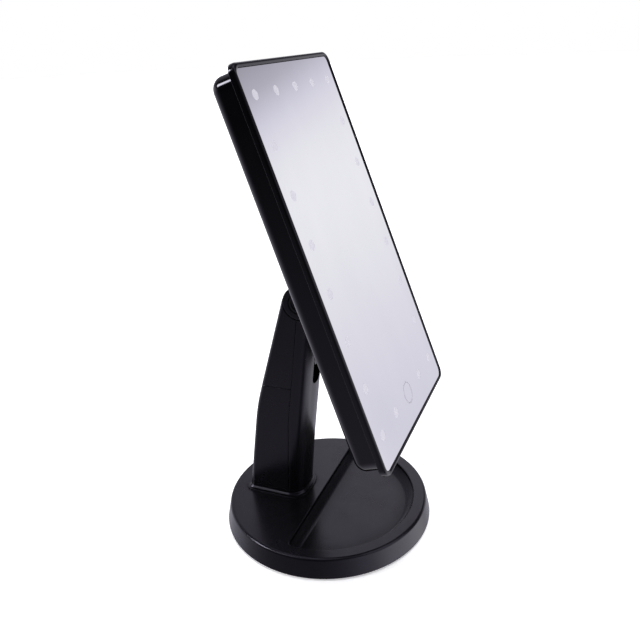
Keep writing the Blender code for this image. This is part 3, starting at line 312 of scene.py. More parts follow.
def block(name, low, high, place=Matrix()):
    bm = bmesh.new()
    bmesh.ops.create_cube(bm, size=1.0)
    low, high = Vector(low), Vector(high)
    bmesh.ops.scale(bm, vec=high - low, verts=bm.verts)
    bmesh.ops.translate(bm, vec=(low + high) / 2, verts=bm.verts)
    return to_object(name, bm, place)


def prism(name, outline, low, high, place=Matrix()):
    """An outline in (x, z), pushed along Y between two depths."""
    return loft(name, [[(x, y, z) for x, z in outline] for y in (low, high)], place)


def apply_modifiers(obj):
    bpy.context.view_layer.update()
    graph = bpy.context.evaluated_depsgraph_get()
    mesh = bpy.data.meshes.new_from_object(obj.evaluated_get(graph))
    obj.modifiers.clear()
    obj.data = mesh


def carve(obj, steps):
    """Runs (operation, other) steps as booleans and removes the other objects."""
    for operation, other in steps:
        modifier = obj.modifiers.new(other.name, "BOOLEAN")
        modifier.operation = operation
        modifier.solver = "MANIFOLD"
        modifier.object = other
    apply_modifiers(obj)
    for _, other in steps:
        bpy.data.objects.remove(other, do_unlink=True)


def soften(obj, width, angle=50, segments=3):
    """Rounds the object's sharp edges."""
    bevel = obj.modifiers.new("soft_edges", "BEVEL")
    bevel.width = width
    bevel.segments = segments
    bevel.limit_method = "ANGLE"
    bevel.angle_limit = math.radians(angle)
    apply_modifiers(obj)


def piece(obj, node, *more_nodes):
    """Shades the object, gives it the node's finish and body, and hides the node behind it."""
    obj.data.shade_smooth()
    obj.data.set_sharp_from_angle(angle=SHARP_ANGLE)
    if not any(obj.data.materials):
        obj.data.materials.clear()
        obj.data.materials.append(materials[SLOT_OF[node]])
    flat = obj.modifiers.new("even_flats", "WEIGHTED_NORMAL")
    flat.keep_sharp = True
    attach(obj, BODY_OF[node])
    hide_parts(node, *more_nodes)
    return obj


# ---- material helpers ----
class Paint:
    """A material's node tree with short calls for the nodes used here."""

    def __init__(self, name):
        self.material = bpy.data.materials.new(name)
        self.material.use_nodes = True
        self.tree = self.material.node_tree
        self.shader = self.tree.nodes["Principled BSDF"]
        self.where = self.node("TexCoord").outputs["Object"]

    @classmethod
    def for_tree(cls, tree):
        """The same calls on another node tree, such as the world's."""
        paint = cls.__new__(cls)
        paint.tree = tree
        return paint

    def node(self, kind, inputs=None, **settings):
        made = self.tree.nodes.new("ShaderNode" + kind)
        for key, value in settings.items():
            setattr(made, key, value)
        for key, value in (inputs or {}).items():
            self.put(made.inputs[key], value)
        return made

    def put(self, socket, value):
        if isinstance(value, bpy.types.NodeSocket):
            self.tree.links.new(value, socket)
        elif socket.type == "RGBA":
            socket.default_value = (*value, 1.0)
        else:
            socket.default_value = value

    def set(self, **inputs):
        """Sets the shader's inputs, with _ for the spaces in their names."""
        for key, value in inputs.items():
            self.put(self.shader.inputs[key.replace("_", " ")], value)
        return self.material

    def noise(self, size, detail=3.0, stretch=None):
        """Noise of about this feature size in metres, 0 to 1."""
        place = self.vector("MULTIPLY", self.where, stretch) if stretch else self.where
        inputs = {"Vector": place, "Scale": 1.0 / size, "Detail": detail}
        return self.node("TexNoise", inputs).outputs["Fac"]

    def spread(self, value, low, high, start=0.0, end=1.0):
        """Maps low..high of a value to start..end, clamped."""
        inputs = {"Value": value, "From Min": low, "From Max": high, "To Min": start, "To Max": end}
        return self.node("MapRange", inputs).outputs["Result"]

    def mid(self, value, start, end):
        """Maps the middle of a noise's range to start..end."""
        return self.spread(value, 0.3, 0.7, start, end)

    def math(self, operation, a, b):
        return self.node("Math", {0: a, 1: b}, operation=operation).outputs[0]

    def vector(self, operation, a, b=(0, 0, 0), output="Vector"):
        made = self.node("VectorMath", {0: a, 1: b}, operation=operation)
        return made.outputs[output]

    def mix(self, factor, a, b):
        made = self.node("Mix", data_type="RGBA")
        self.put(made.inputs["Factor"], factor)
        self.put(made.inputs["A"], a)
        self.put(made.inputs["B"], b)
        return made.outputs["Result"]

    def tone(self, value, a, b):
        """Two colours mixed by the middle of a noise's range."""
        return self.mix(self.mid(value, 0.0, 1.0), a, b)

    def cover(self, colour, mask, strength, other):
        """Another colour laid over the first by a mask."""
        return self.mix(self.math("MULTIPLY", mask, strength), colour, other)

    def relief(self, height, distance, strength, normal=None):
        """Bumps on the material's surface, or on normals that are already rounded."""
        inputs = {"Height": height, "Distance": distance, "Strength": strength}
        if normal is not None:
            inputs["Normal"] = normal
        self.set(Normal=self.node("Bump", inputs).outputs["Normal"])

    def edges(self, radius):
        """Normals rounded over small edges, and a mask that is 1 on those edges."""
        rounded = self.node("Bevel", {"Radius": radius}, samples=6).outputs["Normal"]
        flat = self.node("NewGeometry").outputs["Normal"]
        alike = self.vector("DOT_PRODUCT", rounded, flat, "Value")
        return rounded, self.spread(alike, 0.99, 0.80)


def satin_black():
    """Fine-textured moulded plastic: a grain of about 0.3 mm, cloudy sheen, paler worn edges.
    Its shine is turned down in narrow corners and near walls: painted shade, standing in for the reflections those
    places lose."""
    paint = Paint("satin_black_plastic")
    rounded, edge = paint.edges(0.25 * MM)
    cloud = paint.noise(22 * MM)
    grain = paint.noise(0.32 * MM, 2.0)
    colour = paint.tone(cloud, (0.0026, 0.0025, 0.0034), (0.0036, 0.0035, 0.0046))
    colour = paint.mix(paint.spread(grain, 0.42, 0.62, 0.0, 0.45), colour, (0.008, 0.0078, 0.0095))
    colour = paint.cover(colour, edge, 0.5, (0.022, 0.022, 0.025))
    rubbed = paint.noise(9 * MM, 4.0)
    roughness = paint.spread(paint.math("ADD", rubbed, cloud), 0.7, 1.3, 0.22, 0.28)
    # painted shade: ambient occlusion within the same piece lowers the shine in corners and near walls
    painted_corner_shade = paint.node("AmbientOcclusion", {"Distance": 12 * MM}, samples=8, only_local=True)
    shine_with_painted_shade = paint.spread(painted_corner_shade.outputs["AO"], 0.72, 0.99, 0.06, 0.5)
    paint.relief(grain, 0.008 * MM, 0.45, rounded)
    paint.set(Base_Color=colour, Roughness=roughness, IOR=1.55, Specular_Tint=(0.88, 0.845, 1.0))
    return paint.set(Specular_IOR_Level=shine_with_painted_shade)


def gloss_black():
    """Polished plastic: slow moulding ripple, hairline scratches and a little dust."""
    paint = Paint("gloss_black_plastic")
    rounded, edge = paint.edges(0.3 * MM)
    ripple = paint.noise(18 * MM, 1.0)
    scratches = paint.noise(0.5 * MM, 2.0, stretch=(1.0, 0.06, 0.16))
    haze = paint.noise(14 * MM, 4.0)
    dust = paint.spread(paint.noise(0.45 * MM, 1.0), 0.76, 0.80)
    colour = paint.tone(haze, (0.0012, 0.0012, 0.0017), (0.0020, 0.0020, 0.0027))
    colour = paint.cover(colour, dust, 0.25, (0.10, 0.10, 0.11))
    fine = paint.spread(scratches, 0.60, 0.75, 0.0, 0.05)
    roughness = paint.math("ADD", paint.spread(haze, 0.35, 0.75, 0.07, 0.13), fine)
    roughness = paint.math("ADD", roughness, paint.math("MULTIPLY", edge, 0.05))
    paint.relief(ripple, 0.03 * MM, 0.25, rounded)
    return paint.set(Base_Color=colour, Roughness=roughness, IOR=1.52, Specular_Tint=(0.92, 0.89, 1.0))


def mirror():
    """Silvered glass, with a trace of haze where it was wiped."""
    paint = Paint("silvered_glass")
    wiped = paint.noise(30 * MM, 4.0, stretch=(1.0, 1.0, 0.35))
    colour = paint.tone(wiped, (0.93, 0.93, 0.95), (0.90, 0.90, 0.925))
    return paint.set(Base_Color=colour, Metallic=1.0, Roughness=paint.spread(wiped, 0.45, 0.8, 0.012, 0.05))


def frosted():
    """Lamp windows: etched, with white behind them and polished glass in front, and a faint glow of painted light
    that stands in for fill light on them.
    """
    paint = Paint("frosted_windows")
    grain = paint.noise(0.2 * MM, 2.0)
    colour = paint.mix(grain, (0.52, 0.51, 0.555), (0.57, 0.56, 0.605))
    paint.relief(grain, 0.004 * MM, 0.3)
    paint.set(Base_Color=colour, Roughness=0.5, Coat_Weight=1.0, Coat_Roughness=0.05)
    # painted light: the windows glow faintly in their own colour, in place of a fill light
    return paint.set(Emission_Color=colour, Emission_Strength=0.42)


def touch_mark():
    """The touch ring: a thin etched line."""
    paint = Paint("etched_ring")
    colour = paint.mix(paint.noise(0.2 * MM, 2.0), (0.50, 0.49, 0.54), (0.60, 0.59, 0.64))
    return paint.set(Base_Color=colour, Roughness=0.45, Coat_Weight=1.0, Coat_Roughness=0.03)


def rubber():
    """Closed-cell foam pad: pitted and dull."""
    paint = Paint("foam_rubber")
    cells = paint.node("TexVoronoi", {"Vector": paint.where, "Scale": 1.0 / (0.6 * MM)})
    pits = cells.outputs["Distance"]
    colour = paint.mix(paint.spread(pits, 0.1, 0.7), (0.008, 0.008, 0.009), (0.026, 0.026, 0.028))
    paint.relief(pits, 0.12 * MM, 0.8)
    return paint.set(Base_Color=colour, Roughness=paint.mid(paint.noise(8 * MM), 0.8, 0.95))


def steel():
    """Zinc-plated steel: bright, lightly brushed, with a bluish bloom."""
    paint = Paint("zinc_plated_steel")
    rounded, edge = paint.edges(0.1 * MM)
    brushed = paint.noise(0.25 * MM, 3.0, stretch=(1.0, 0.12, 1.0))
    colour = paint.tone(paint.noise(3 * MM), (0.58, 0.58, 0.60), (0.52, 0.55, 0.62))
    colour = paint.cover(colour, edge, 0.6, (0.75, 0.75, 0.76))
    paint.relief(brushed, 0.004 * MM, 0.5, rounded)
    return paint.set(Base_Color=colour, Metallic=1.0, Roughness=paint.mid(brushed, 0.24, 0.40))


def inner_plastic():
    """Unpolished grey moulding with a matt, slightly streaked skin."""
    paint = Paint("grey_inner_plastic")
    rounded, edge = paint.edges(0.2 * MM)
    streaks = paint.noise(2.5 * MM, 4.0, stretch=(1.0, 1.0, 0.2))
    colour = paint.tone(streaks, (0.045, 0.045, 0.049), (0.062, 0.062, 0.066))
    colour = paint.cover(colour, edge, 0.4, (0.11, 0.11, 0.115))
    paint.relief(paint.noise(0.3 * MM), 0.015 * MM, 0.6, rounded)
    return paint.set(Base_Color=colour, Roughness=0.55)


def circuit_board():
    """White solder mask with faint tracks under it."""
    paint = Paint("white_circuit_board")
    rounded, _ = paint.edges(0.1 * MM)
    tracks = paint.node("TexBrick", {
        "Vector": paint.where, "Scale": 260.0, "Mortar Size": 0.06,
        "Color1": (0.66, 0.67, 0.65), "Color2": (0.72, 0.73, 0.71), "Mortar": (0.60, 0.62, 0.58)})
    bare = paint.spread(paint.noise(4 * MM), 0.4, 0.6, 0.0, 0.3)
    colour = paint.mix(bare, tracks.outputs["Color"], (0.74, 0.74, 0.73))
    paint.relief(tracks.outputs["Fac"], 0.03 * MM, 0.4, rounded)
    return paint.set(Base_Color=colour, Roughness=paint.mid(paint.noise(1 * MM), 0.38, 0.5))


def diffuser():
    paint = Paint("frosted_diffuser")
    grain = paint.noise(0.25 * MM, 2.0)
    colour = paint.tone(paint.noise(12 * MM), (0.80, 0.80, 0.82), (0.86, 0.86, 0.88))
    paint.relief(grain, 0.01 * MM, 0.5)
    return paint.set(Base_Color=colour, Roughness=paint.mid(grain, 0.5, 0.65))


def cable_jacket():
    paint = Paint("cable_jacket")
    cloud = paint.noise(2 * MM, 3.0)
    colour = paint.tone(cloud, (0.26, 0.012, 0.012), (0.36, 0.02, 0.018))
    paint.relief(paint.noise(0.4 * MM), 0.01 * MM, 0.5)
    return paint.set(Base_Color=colour, Roughness=paint.mid(cloud, 0.42, 0.55))


def copper():
    paint = Paint("copper_pad")
    dull = paint.noise(1.5 * MM, 4.0)
    colour = paint.tone(dull, (0.80, 0.42, 0.26), (0.55, 0.27, 0.17))
    return paint.set(Base_Color=colour, Metallic=1.0, Roughness=paint.mid(dull, 0.25, 0.45))


def cell_sleeve():
    """Foil sleeve along the cell's own Z axis: dark body, copper-coloured band at the top."""
    paint = Paint("cell_sleeve")
    along = paint.node("SeparateXYZ", {0: paint.node("UVMap").outputs["UV"]}).outputs["Y"]
    band = paint.spread(along, 0.705, 0.715)
    top = paint.spread(along, 0.975, 0.976)
    foot = paint.spread(along, 0.022, 0.020)
    bare = paint.math("MAXIMUM", top, foot)
    colour = paint.tone(paint.noise(3 * MM), (0.010, 0.018, 0.045), (0.014, 0.024, 0.058))
    colour = paint.mix(band, colour, (0.55, 0.26, 0.10))
    colour = paint.mix(bare, colour, (0.62, 0.62, 0.64))
    paint.set(Base_Color=colour, Metallic=paint.math("MAXIMUM", bare, paint.math("MULTIPLY", band, 0.8)))
    return paint.set(Roughness=paint.mid(paint.noise(1.2 * MM), 0.24, 0.34))


makers = (satin_black, gloss_black, mirror, diffuser, circuit_board, inner_plastic, cell_sleeve,
          cable_jacket, copper, rubber, steel)
materials = {make.__name__: make() for make in makers}


# ---- the column's form ----
def bent_line(z, line):
    bend_y, bend_z, slope_low, slope_high = line
    over = (z - bend_z) / BEND_SOFTNESS
    rise = BEND_SOFTNESS * math.log1p(math.exp(over))
    return bend_y + slope_low * (z - bend_z) + (slope_high - slope_low) * rise


def part_line_y(z):
    """The seam between the column's front and its rear pieces, seen from the side."""
    (y0, z0), (y1, z1), (y2, z2) = PART_LINE
    if z < z1:
        return y0 + (y1 - y0) * (z - z0) / (z1 - z0)
    return y1 + (y2 - y1) * (z - z1) / (z2 - z1)


def between(start, end, count):
    """Values from start towards end, without the end."""
    return [start + (end - start) * i / count for i in range(count)]


def front_path(z, grow, seam_y):
    """Right seam, round the front, left seam; the seam may lie on the corner's arc."""
    front = bent_line(z, FRONT_LINE) - grow
    radius = FRONT_CORNER + grow
    flat = COLUMN_HALF + grow - radius
    turn_y = front + radius
    arc_start = math.degrees(math.asin(min(0.0, (seam_y - turn_y) / radius))) - 1.5
    arc_y = turn_y + radius * math.sin(math.radians(arc_start))
    side = [(flat + math.sqrt(radius ** 2 - min(0.0, y - turn_y) ** 2), y)
            for y in between(seam_y, arc_y, 6)]
    side += arc((flat, turn_y), radius, arc_start, FRONT_CROWN - 90, 16)[:-1]
    crown = math.radians(FRONT_CROWN)
    end_x, end_y = flat + radius * math.sin(crown), turn_y - radius * math.cos(crown)
    bulge = math.tan(crown) / (2 * end_x)
    middle = [(x, end_y - bulge * (end_x ** 2 - x ** 2)) for x in between(end_x, -end_x, 12)]
    return side + middle + [(-end_x, end_y)] + [(-x, y) for x, y in reversed(side)]


def back_path(z, grow, seam_y):
    """Left seam, round the back, right seam."""
    half = COLUMN_HALF + grow
    back = bent_line(z, BACK_LINE) + grow
    radius = max(BACK_CORNER + grow, 0.8 * MM)
    path = [(-half, y) for y in between(seam_y, back - radius, 6)]
    path += arc((-half + radius, back - radius), radius, 180, 90, 10)[:-1]
    path += [(x, back) for x in between(-half + radius, half - radius, 8)]
    path += arc((half - radius, back - radius), radius, 90, 0, 10)
    path += [(half, y) for y in between(back - radius, seam_y, 6)[1:]] + [(half, seam_y)]
    return path


def full_section(z, grow=0.0):
    seam_y = part_line_y(z)
    ring = front_path(z, grow, seam_y) + back_path(z, grow, seam_y)[1:-1]
    return [(x, y, z) for x, y in ring]


def shell_wall(name, path, low, high, seam_shift):
    """The wall of one column piece between two heights, cut at the seam."""
    levels = between(low, high, max(2, round((high - low) / (3 * MM)))) + [high]
    rings = []
    for z in levels:
        seam_y = part_line_y(z) + seam_shift
        section = path(z, 0.0, seam_y) + list(reversed(path(z, -COLUMN_WALL, seam_y)))
        rings.append([(x, y, z) for x, y in section])
    obj = loft(name, rings)
    soften(obj, SEAM_EDGE)
    return obj


def axis_shaft(name, radius, low, high, steps=96):
    return shaft(name, radius, (low, AXIS.y, AXIS.z), (high, AXIS.y, AXIS.z), steps=steps)


def build_column():
    foot_top = COLUMN_Z0 + FOOT_HEIGHT
    rings = [full_section(COLLAR_TOP + up * MM, out * MM) for up, out in FOOT_BEAD]
    piece(loft("column_foot", rings + [full_section(foot_top)]), "column_front_shell")

    saddle = KNUCKLE_RADIUS + GAP
    front = shell_wall("column_front", front_path, foot_top, SHOULDER_Z, 0.0)
    turn = Matrix.Rotation(math.atan(-FRONT_LINE[3]), 4, "X")
    slot_axes = Matrix.Translation((0, bent_line(SWITCH_Z, FRONT_LINE), SWITCH_Z)) @ turn
    outline = rounded_outline(SLOT_WIDTH / 2, SLOT_LENGTH / 2, SLOT_CORNER, 10)
    above_shoulder = (-FAR, -FAR, AXIS.z - SHOULDER_DROP), (FAR, AXIS.y, AXIS.z + FAR)
    carve(front, [
        (CUT, block("above_shoulder", *above_shoulder)),
        (JOIN, axis_shaft("middle_knuckle", KNUCKLE_RADIUS - 0.2 * MM, -8 * MM, 8 * MM)),
        (CUT, axis_shaft("saddle_left", saddle, -FAR, -MIDDLE_HALF)),
        (CUT, axis_shaft("saddle_right", saddle, MIDDLE_HALF, FAR)),
        (CUT, prism("switch_slot", outline, -5 * MM, 4 * MM, slot_axes)),
    ])
    piece(front, "column_front_shell")

    rear = shell_wall("column_rear", back_path, SEAM_Z, SHOULDER_Z, GAP)
    works = [(CUT, axis_shaft("saddle_full", saddle, -FAR, FAR))]
    for node in numbered("shell_screw_", 2):
        x, _, z = middle_of(node)
        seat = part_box(node)[1].y - HEAD_HEIGHT
        wall = bent_line(z, BACK_LINE) - 1.4 * MM
        boss = shaft("boss", WELL_RADIUS + BOSS_WALL, (x, seat - BOSS_FLOOR, z), (x, wall, z))
        works.append((JOIN, boss))
        works.append((CUT, shaft("well", WELL_RADIUS, (x, seat, z), (x, FAR, z))))
    carve(rear, works)
    piece(rear, "column_rear_shell")

    door_low, door_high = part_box("battery_door")
    door = shell_wall("battery_cover", back_path, door_low.z, door_high.z, GAP)
    scoop_z = SEAM_Z - 9 * MM
    scoop_y = bent_line(scoop_z, BACK_LINE) + 3.2 * MM
    size = Matrix.Diagonal((7.5 * MM, 4.1 * MM, 4.6 * MM, 1.0))
    bm = bmesh.new()
    bmesh.ops.create_uvsphere(bm, u_segments=64, v_segments=32, radius=1.0,
                              matrix=Matrix.Translation((0, scoop_y, scoop_z)) @ size)
    carve(door, [(CUT, to_object("scoop", bm))])
    piece(door, "battery_door")


# ---- base ----
def tray_outline(shrink, z):
    """The front part of a disc, cut off straight, with rounded corners, shrunk inwards."""
    radius = TRAY_RADIUS - shrink
    chord = TRAY_CHORD_Y - shrink
    corner = max(TRAY_CORNER - shrink, 0.5 * MM)
    side = math.sqrt((radius - corner) ** 2 - (chord - corner) ** 2)
    tip = math.degrees(math.atan2(chord - corner, side))
    points = arc((side, chord - corner), corner, 90, tip, 10)
    points += arc((0, 0), radius, tip, -180 - tip, 200)[1:-1]
    points += arc((-side, chord - corner), corner, 180 - tip, 90, 10)
    return [(x, y, z) for x, y in points]


def build_base():
    low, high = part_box("base_shell")
    deck = high.z - COLLAR_RISE
    radius = high.x
    top_radius = radius - BASE_TAPER
    tray_floor = deck - TRAY_DEPTH
    bm = bmesh.new()

    hem = 0.5 * MM
    profile = arc((top_radius - BASE_EDGE, deck - BASE_EDGE), BASE_EDGE, 90, 3, 10)
    profile += arc((radius - hem, low.z + hem), hem, 0, -90, 5)
    profile += [(radius - BASE_WALL, low.z), (top_radius - BASE_WALL, deck - BASE_WALL)]
    deck_edge, inner_edge = skin(bm, [circle(r, z, 288) for r, z in profile])

    wall = arc((-TRAY_LIP, deck - TRAY_LIP), TRAY_LIP, 90, 0, 5)
    for share in between(0.0, 1.0, 14) + [1.0]:
        wall.append((TRAY_COVE * share, tray_floor + TRAY_COVE / 2 * (1 - share) ** 2))
    tray_edge, floor_edge = skin(bm, [tray_outline(shrink, z) for shrink, z in wall])
    fill(bm, floor_edge)

    fillet = 0.3 * MM
    collar = arc((COLLAR_MARGIN + fillet, deck + fillet), fillet, 270, 180, 4)
    collar += arc((COLLAR_MARGIN - fillet, high.z - fillet), fillet, 0, 90, 4)
    rings = []
    for grow, z in collar:
        rings.append([(x, y, z) for x, y, _ in full_section(COLUMN_Z0, grow)])
    collar_edge, collar_top = skin(bm, rings)
    fill(bm, collar_top)
    fill(bm, deck_edge, tray_edge, collar_edge)

    under = [(-BASE_WALL, deck - BASE_WALL), (-BASE_WALL, tray_floor - BASE_WALL)]
    under_edge, under_floor = skin(bm, [tray_outline(shrink, z) for shrink, z in under])
    fill(bm, under_floor)
    fill(bm, inner_edge, under_edge)
    piece(to_object("base_moulding", bm), "base_shell")

    low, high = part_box("base_bottom_cover")
    edge = 0.4 * MM
    profile = [(0, high.z), (high.x - edge, high.z), (high.x, high.z - edge), (high.x, low.z + edge),
               (high.x - edge, low.z), (0, low.z)]
    cover = turned("underside_cover", profile, steps=FINE)
    wells = []
    for node in numbered("cover_screw_", 3):
        x, y, _ = middle_of(node)
        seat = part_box(node)[0].z + COVER_HEAD_HEIGHT
        wells.append((CUT, shaft("well", WELL_RADIUS, (x, y, -MM), (x, y, seat))))
    carve(cover, wells)
    piece(cover, "base_bottom_cover")

    low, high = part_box("anti_slip_pad")
    edge = 0.25 * MM
    profile = [(0, high.z)] + arc((high.x - edge, high.z - edge), edge, 90, 0, 4)
    profile += arc((high.x - edge, low.z + edge), edge, 0, -90, 4) + [(0, low.z)]
    piece(turned("foam_pad", profile, steps=FINE), "anti_slip_pad")


# ---- hinge ----
def build_hinge():
    """The fork with its knuckles, and a cap in each knuckle."""
    low, high = box_in("hinge_bracket", HEAD)
    plate_back = low.y + 3.0 * MM
    edge, corner = 0.7 * MM, 4.0 * MM
    web_inset, recess, well_depth = 1.5 * MM, 1.5 * MM, 1.3 * MM
    profile = [(0.0, low.y)] + arc((edge, plate_back - edge), edge, 180, 90, 5)
    fork = loft("fork_bracket", shrinking(high.x, high.z, corner, profile), HEAD)
    works = []
    turn = Matrix.Rotation(math.radians(90), 4, "Y")
    for side in (-1, 1):
        inner, outer = sorted((side * FORK_INNER, side * COLUMN_HALF))
        works.append((JOIN, block("arm", (inner, low.y + MM, -ARM_HALF), (outer, 0, ARM_HALF), HEAD)))
        outline = [(low.y + MM, -WEB_HALF), (low.y + MM, WEB_HALF), (-WEB_START, ARM_HALF - 0.2 * MM),
                   (-WEB_START, 0.2 * MM - ARM_HALF)]
        ends = [[(x, y, z) for y, z in outline] for x in (inner + web_inset, outer - web_inset)]
        works.append((JOIN, loft("web", ends, HEAD)))
        near, far = side * FORK_INNER, side * COLUMN_HALF
        profile = [(0, near), (KNUCKLE_RADIUS, near)]
        profile += arc((KNUCKLE_RADIUS - edge, far - side * edge), edge, 0, side * 90, 4) + [(0, far)]
        works.append((JOIN, turned("knuckle", profile, turn, 128, HEAD)))
        cap_low, cap_high = box_in("hinge_cap_left", HEAD)
        radius = (cap_high.z - cap_low.z) / 2 + 0.2 * MM
        seat = side * (COLUMN_HALF - recess)
        works.append((CUT, shaft("recess", radius, (seat, 0, 0), (side * FAR, 0, 0), HEAD, 96)))
    for node in numbered("bracket_screw_", 4):
        x, _, z = middle_of(node, HEAD)
        seat = (x, plate_back - well_depth, z)
        works.append((CUT, shaft("well", WELL_RADIUS, seat, (x, 0, z), HEAD)))
    carve(fork, works)
    piece(fork, "hinge_bracket")

    for label, side in (("left", -1), ("right", 1)):
        node = "hinge_cap_" + label
        low, high = box_in(node, HEAD)
        radius = (high.z - low.z) / 2
        near, far = sorted((low.x, high.x), key=abs)
        rim = 0.5 * MM
        dish = radius - 1.5 * MM
        profile = [(0, near), (radius, near)]
        profile += arc((radius - rim, far - side * rim), rim, 0, side * 90, 5)
        profile += [(dish, far), (dish - 0.5 * MM, far - side * 0.35 * MM), (0, far - side * 0.5 * MM)]
        piece(turned("axle_cap_" + label, profile, turn, place=HEAD), node)


# ---- mirror head ----
def build_bezel():
    housing_low, housing_high = box_in("rear_housing", HEAD)
    depth = housing_low.y - GAP - HEAD_FRONT
    lip_out = HEAD_HALF_X - housing_high.x + HOUSING_WALL + GAP
    back_edge = 0.35 * MM
    profile = [(RIM_CREST * (1 - math.cos(a)), BEZEL_NOSE * (1 - math.sin(a)) - RIM_PROUD)
               for a in quarter(10)]
    inner = BEZEL_RIM - RIM_CREST
    profile += [(RIM_CREST + inner * math.sin(a), -RIM_PROUD * math.cos(a)) for a in quarter(10)[1:]]
    ledge = depth - LEDGE_THICK
    profile += [(BEZEL_RIM, ledge), (BEZEL_LEDGE, ledge), (BEZEL_LEDGE, depth)]
    profile += [(lip_out + LIP_THICK, depth), (lip_out + LIP_THICK, depth + SNAP_LIP),
                (lip_out, depth + SNAP_LIP), (lip_out, depth)]
    profile += arc((back_edge, depth - back_edge), back_edge, 90, 180, 4)
    rings = []
    for inset, back in profile:
        corner = max(HEAD_CORNER - 0.7 * inset, MM)
        outline = rounded_outline(HEAD_HALF_X - inset, HEAD_HALF_Z - inset, corner, RIM_STEPS)
        rise = HEAD_CENTRE_Z + RIM_RISE * max(0.0, 1 - inset / BEZEL_RIM)
        rings.append([(x, HEAD_FRONT + back, z + (rise if z > 0 else HEAD_CENTRE_Z)) for x, z in outline])
    bm = bmesh.new()
    skin(bm, rings, closed=True)
    piece(to_object("head_bezel", bm, HEAD), "front_bezel")


def build_housing():
    low, high = box_in("rear_housing", HEAD)
    edge = 0.35 * MM
    floor = high.y - HOUSING_WALL
    turn = (HOUSING_ROUND, high.y - HOUSING_ROUND)
    outside = arc((edge, low.y + edge), edge, 270, 180, 3) + arc(turn, HOUSING_ROUND, 180, 90, 16)
    inside = [(HOUSING_WALL, low.y)] + arc(turn, HOUSING_ROUND - HOUSING_WALL, 180, 90, 4)
    bm = bmesh.new()
    sizes = (high.x, (high.z - low.z) / 2, HOUSING_CORNER)
    outer_rim, outer_floor = skin(bm, shrinking(*sizes, outside, HEAD_CENTRE_Z, RIM_STEPS))
    inner_rim, inner_floor = skin(bm, shrinking(*sizes, inside, HEAD_CENTRE_Z, RIM_STEPS))
    bridge(bm, outer_rim, inner_rim)

    wells_out, wells_in = [], []
    well, chamfer = 3.0 * MM, 0.3 * MM
    for node in numbered("housing_screw_", 4):
        x, _, z = middle_of(node, HEAD)
        seat = box_in(node, HEAD)[1].y - HEAD_HEIGHT
        mouth = [(well + chamfer, high.y), (well, high.y - chamfer), (well, seat)]
        first, last = skin(bm, [well_ring(x, z, r, y) for r, y in mouth])
        fill(bm, last)
        wells_out.append(first)
        boss = [(4.4 * MM, floor), (4.4 * MM, seat - BOSS_FLOOR)]
        first, last = skin(bm, [well_ring(x, z, r, y) for r, y in boss])
        fill(bm, last)
        wells_in.append(first)
    fill(bm, outer_floor, *wells_out)
    fill(bm, inner_floor, *wells_in)
    piece(to_object("head_housing", bm, HEAD), "rear_housing")


def well_ring(x, z, radius, y):
    return [(px, y, pz) for px, pz, _ in circle(radius, 0.0, 40, (x, z))]


def lamp_place(column, row):
    x = (column - (LAMP_COLUMNS - 1) / 2) * LAMP_PITCH[0]
    z = HEAD_CENTRE_Z + LAMP_SHIFT + ((LAMP_ROWS - 1) / 2 - row) * LAMP_PITCH[1]
    return x, z


def build_pane():
    """The glass: silvered front with etched lamp windows and a touch ring."""
    low, high = box_in("mirror_glass", HEAD)
    ease = 0.12 * MM
    corner = HEAD_CORNER - 1.7 * MM
    profile = [(0.0, high.y), (0.0, low.y + ease), (ease, low.y)]
    bm = bmesh.new()
    rings = shrinking(high.x, (high.z - low.z) / 2, corner, profile, HEAD_CENTRE_Z, RIM_STEPS)
    back, front = skin(bm, rings)
    fill(bm, back)

    last = LAMP_ROWS - 1
    middle = LAMP_COLUMNS // 2
    lamps = [(column, row) for row in range(LAMP_ROWS) for column in (0, LAMP_COLUMNS - 1)]
    lamps += [(column, 0) for column in range(1, LAMP_COLUMNS - 1)]
    lamps += [(column, last) for column in range(1, LAMP_COLUMNS - 1) if column != middle]
    etched = low.y + ETCH_DEPTH
    holes, frosted_faces = [], []
    for column, row in lamps:
        x, z = lamp_place(column, row)
        rim, floor = skin(bm, [well_ring(x, z, LAMP_RADIUS, y) for y in (low.y, etched)])
        frosted_faces += fill(bm, floor)
        holes.append(rim)
    x, z = lamp_place(middle, last)
    inner, outer = TOUCH_RING
    rings = [(outer, low.y), (outer, etched), (inner, etched), (inner, low.y)]
    rim, island = skin(bm, [well_ring(x, z, r, y) for r, y in rings])
    holes.append(rim)
    fill(bm, island)
    ring_faces = [face for face in bm.faces if face not in frosted_faces
                  and all(abs(vertex.co.y - etched) < SAME_PLACE for vertex in face.verts)]
    fill(bm, front, *holes)
    for face in frosted_faces:
        face.material_index = 1
    for face in ring_faces:
        face.material_index = 2
    pane = to_object("mirror_pane", bm, HEAD)
    for finish in (materials["mirror"], frosted(), touch_mark()):
        pane.data.materials.append(finish)
    piece(pane, "mirror_glass")


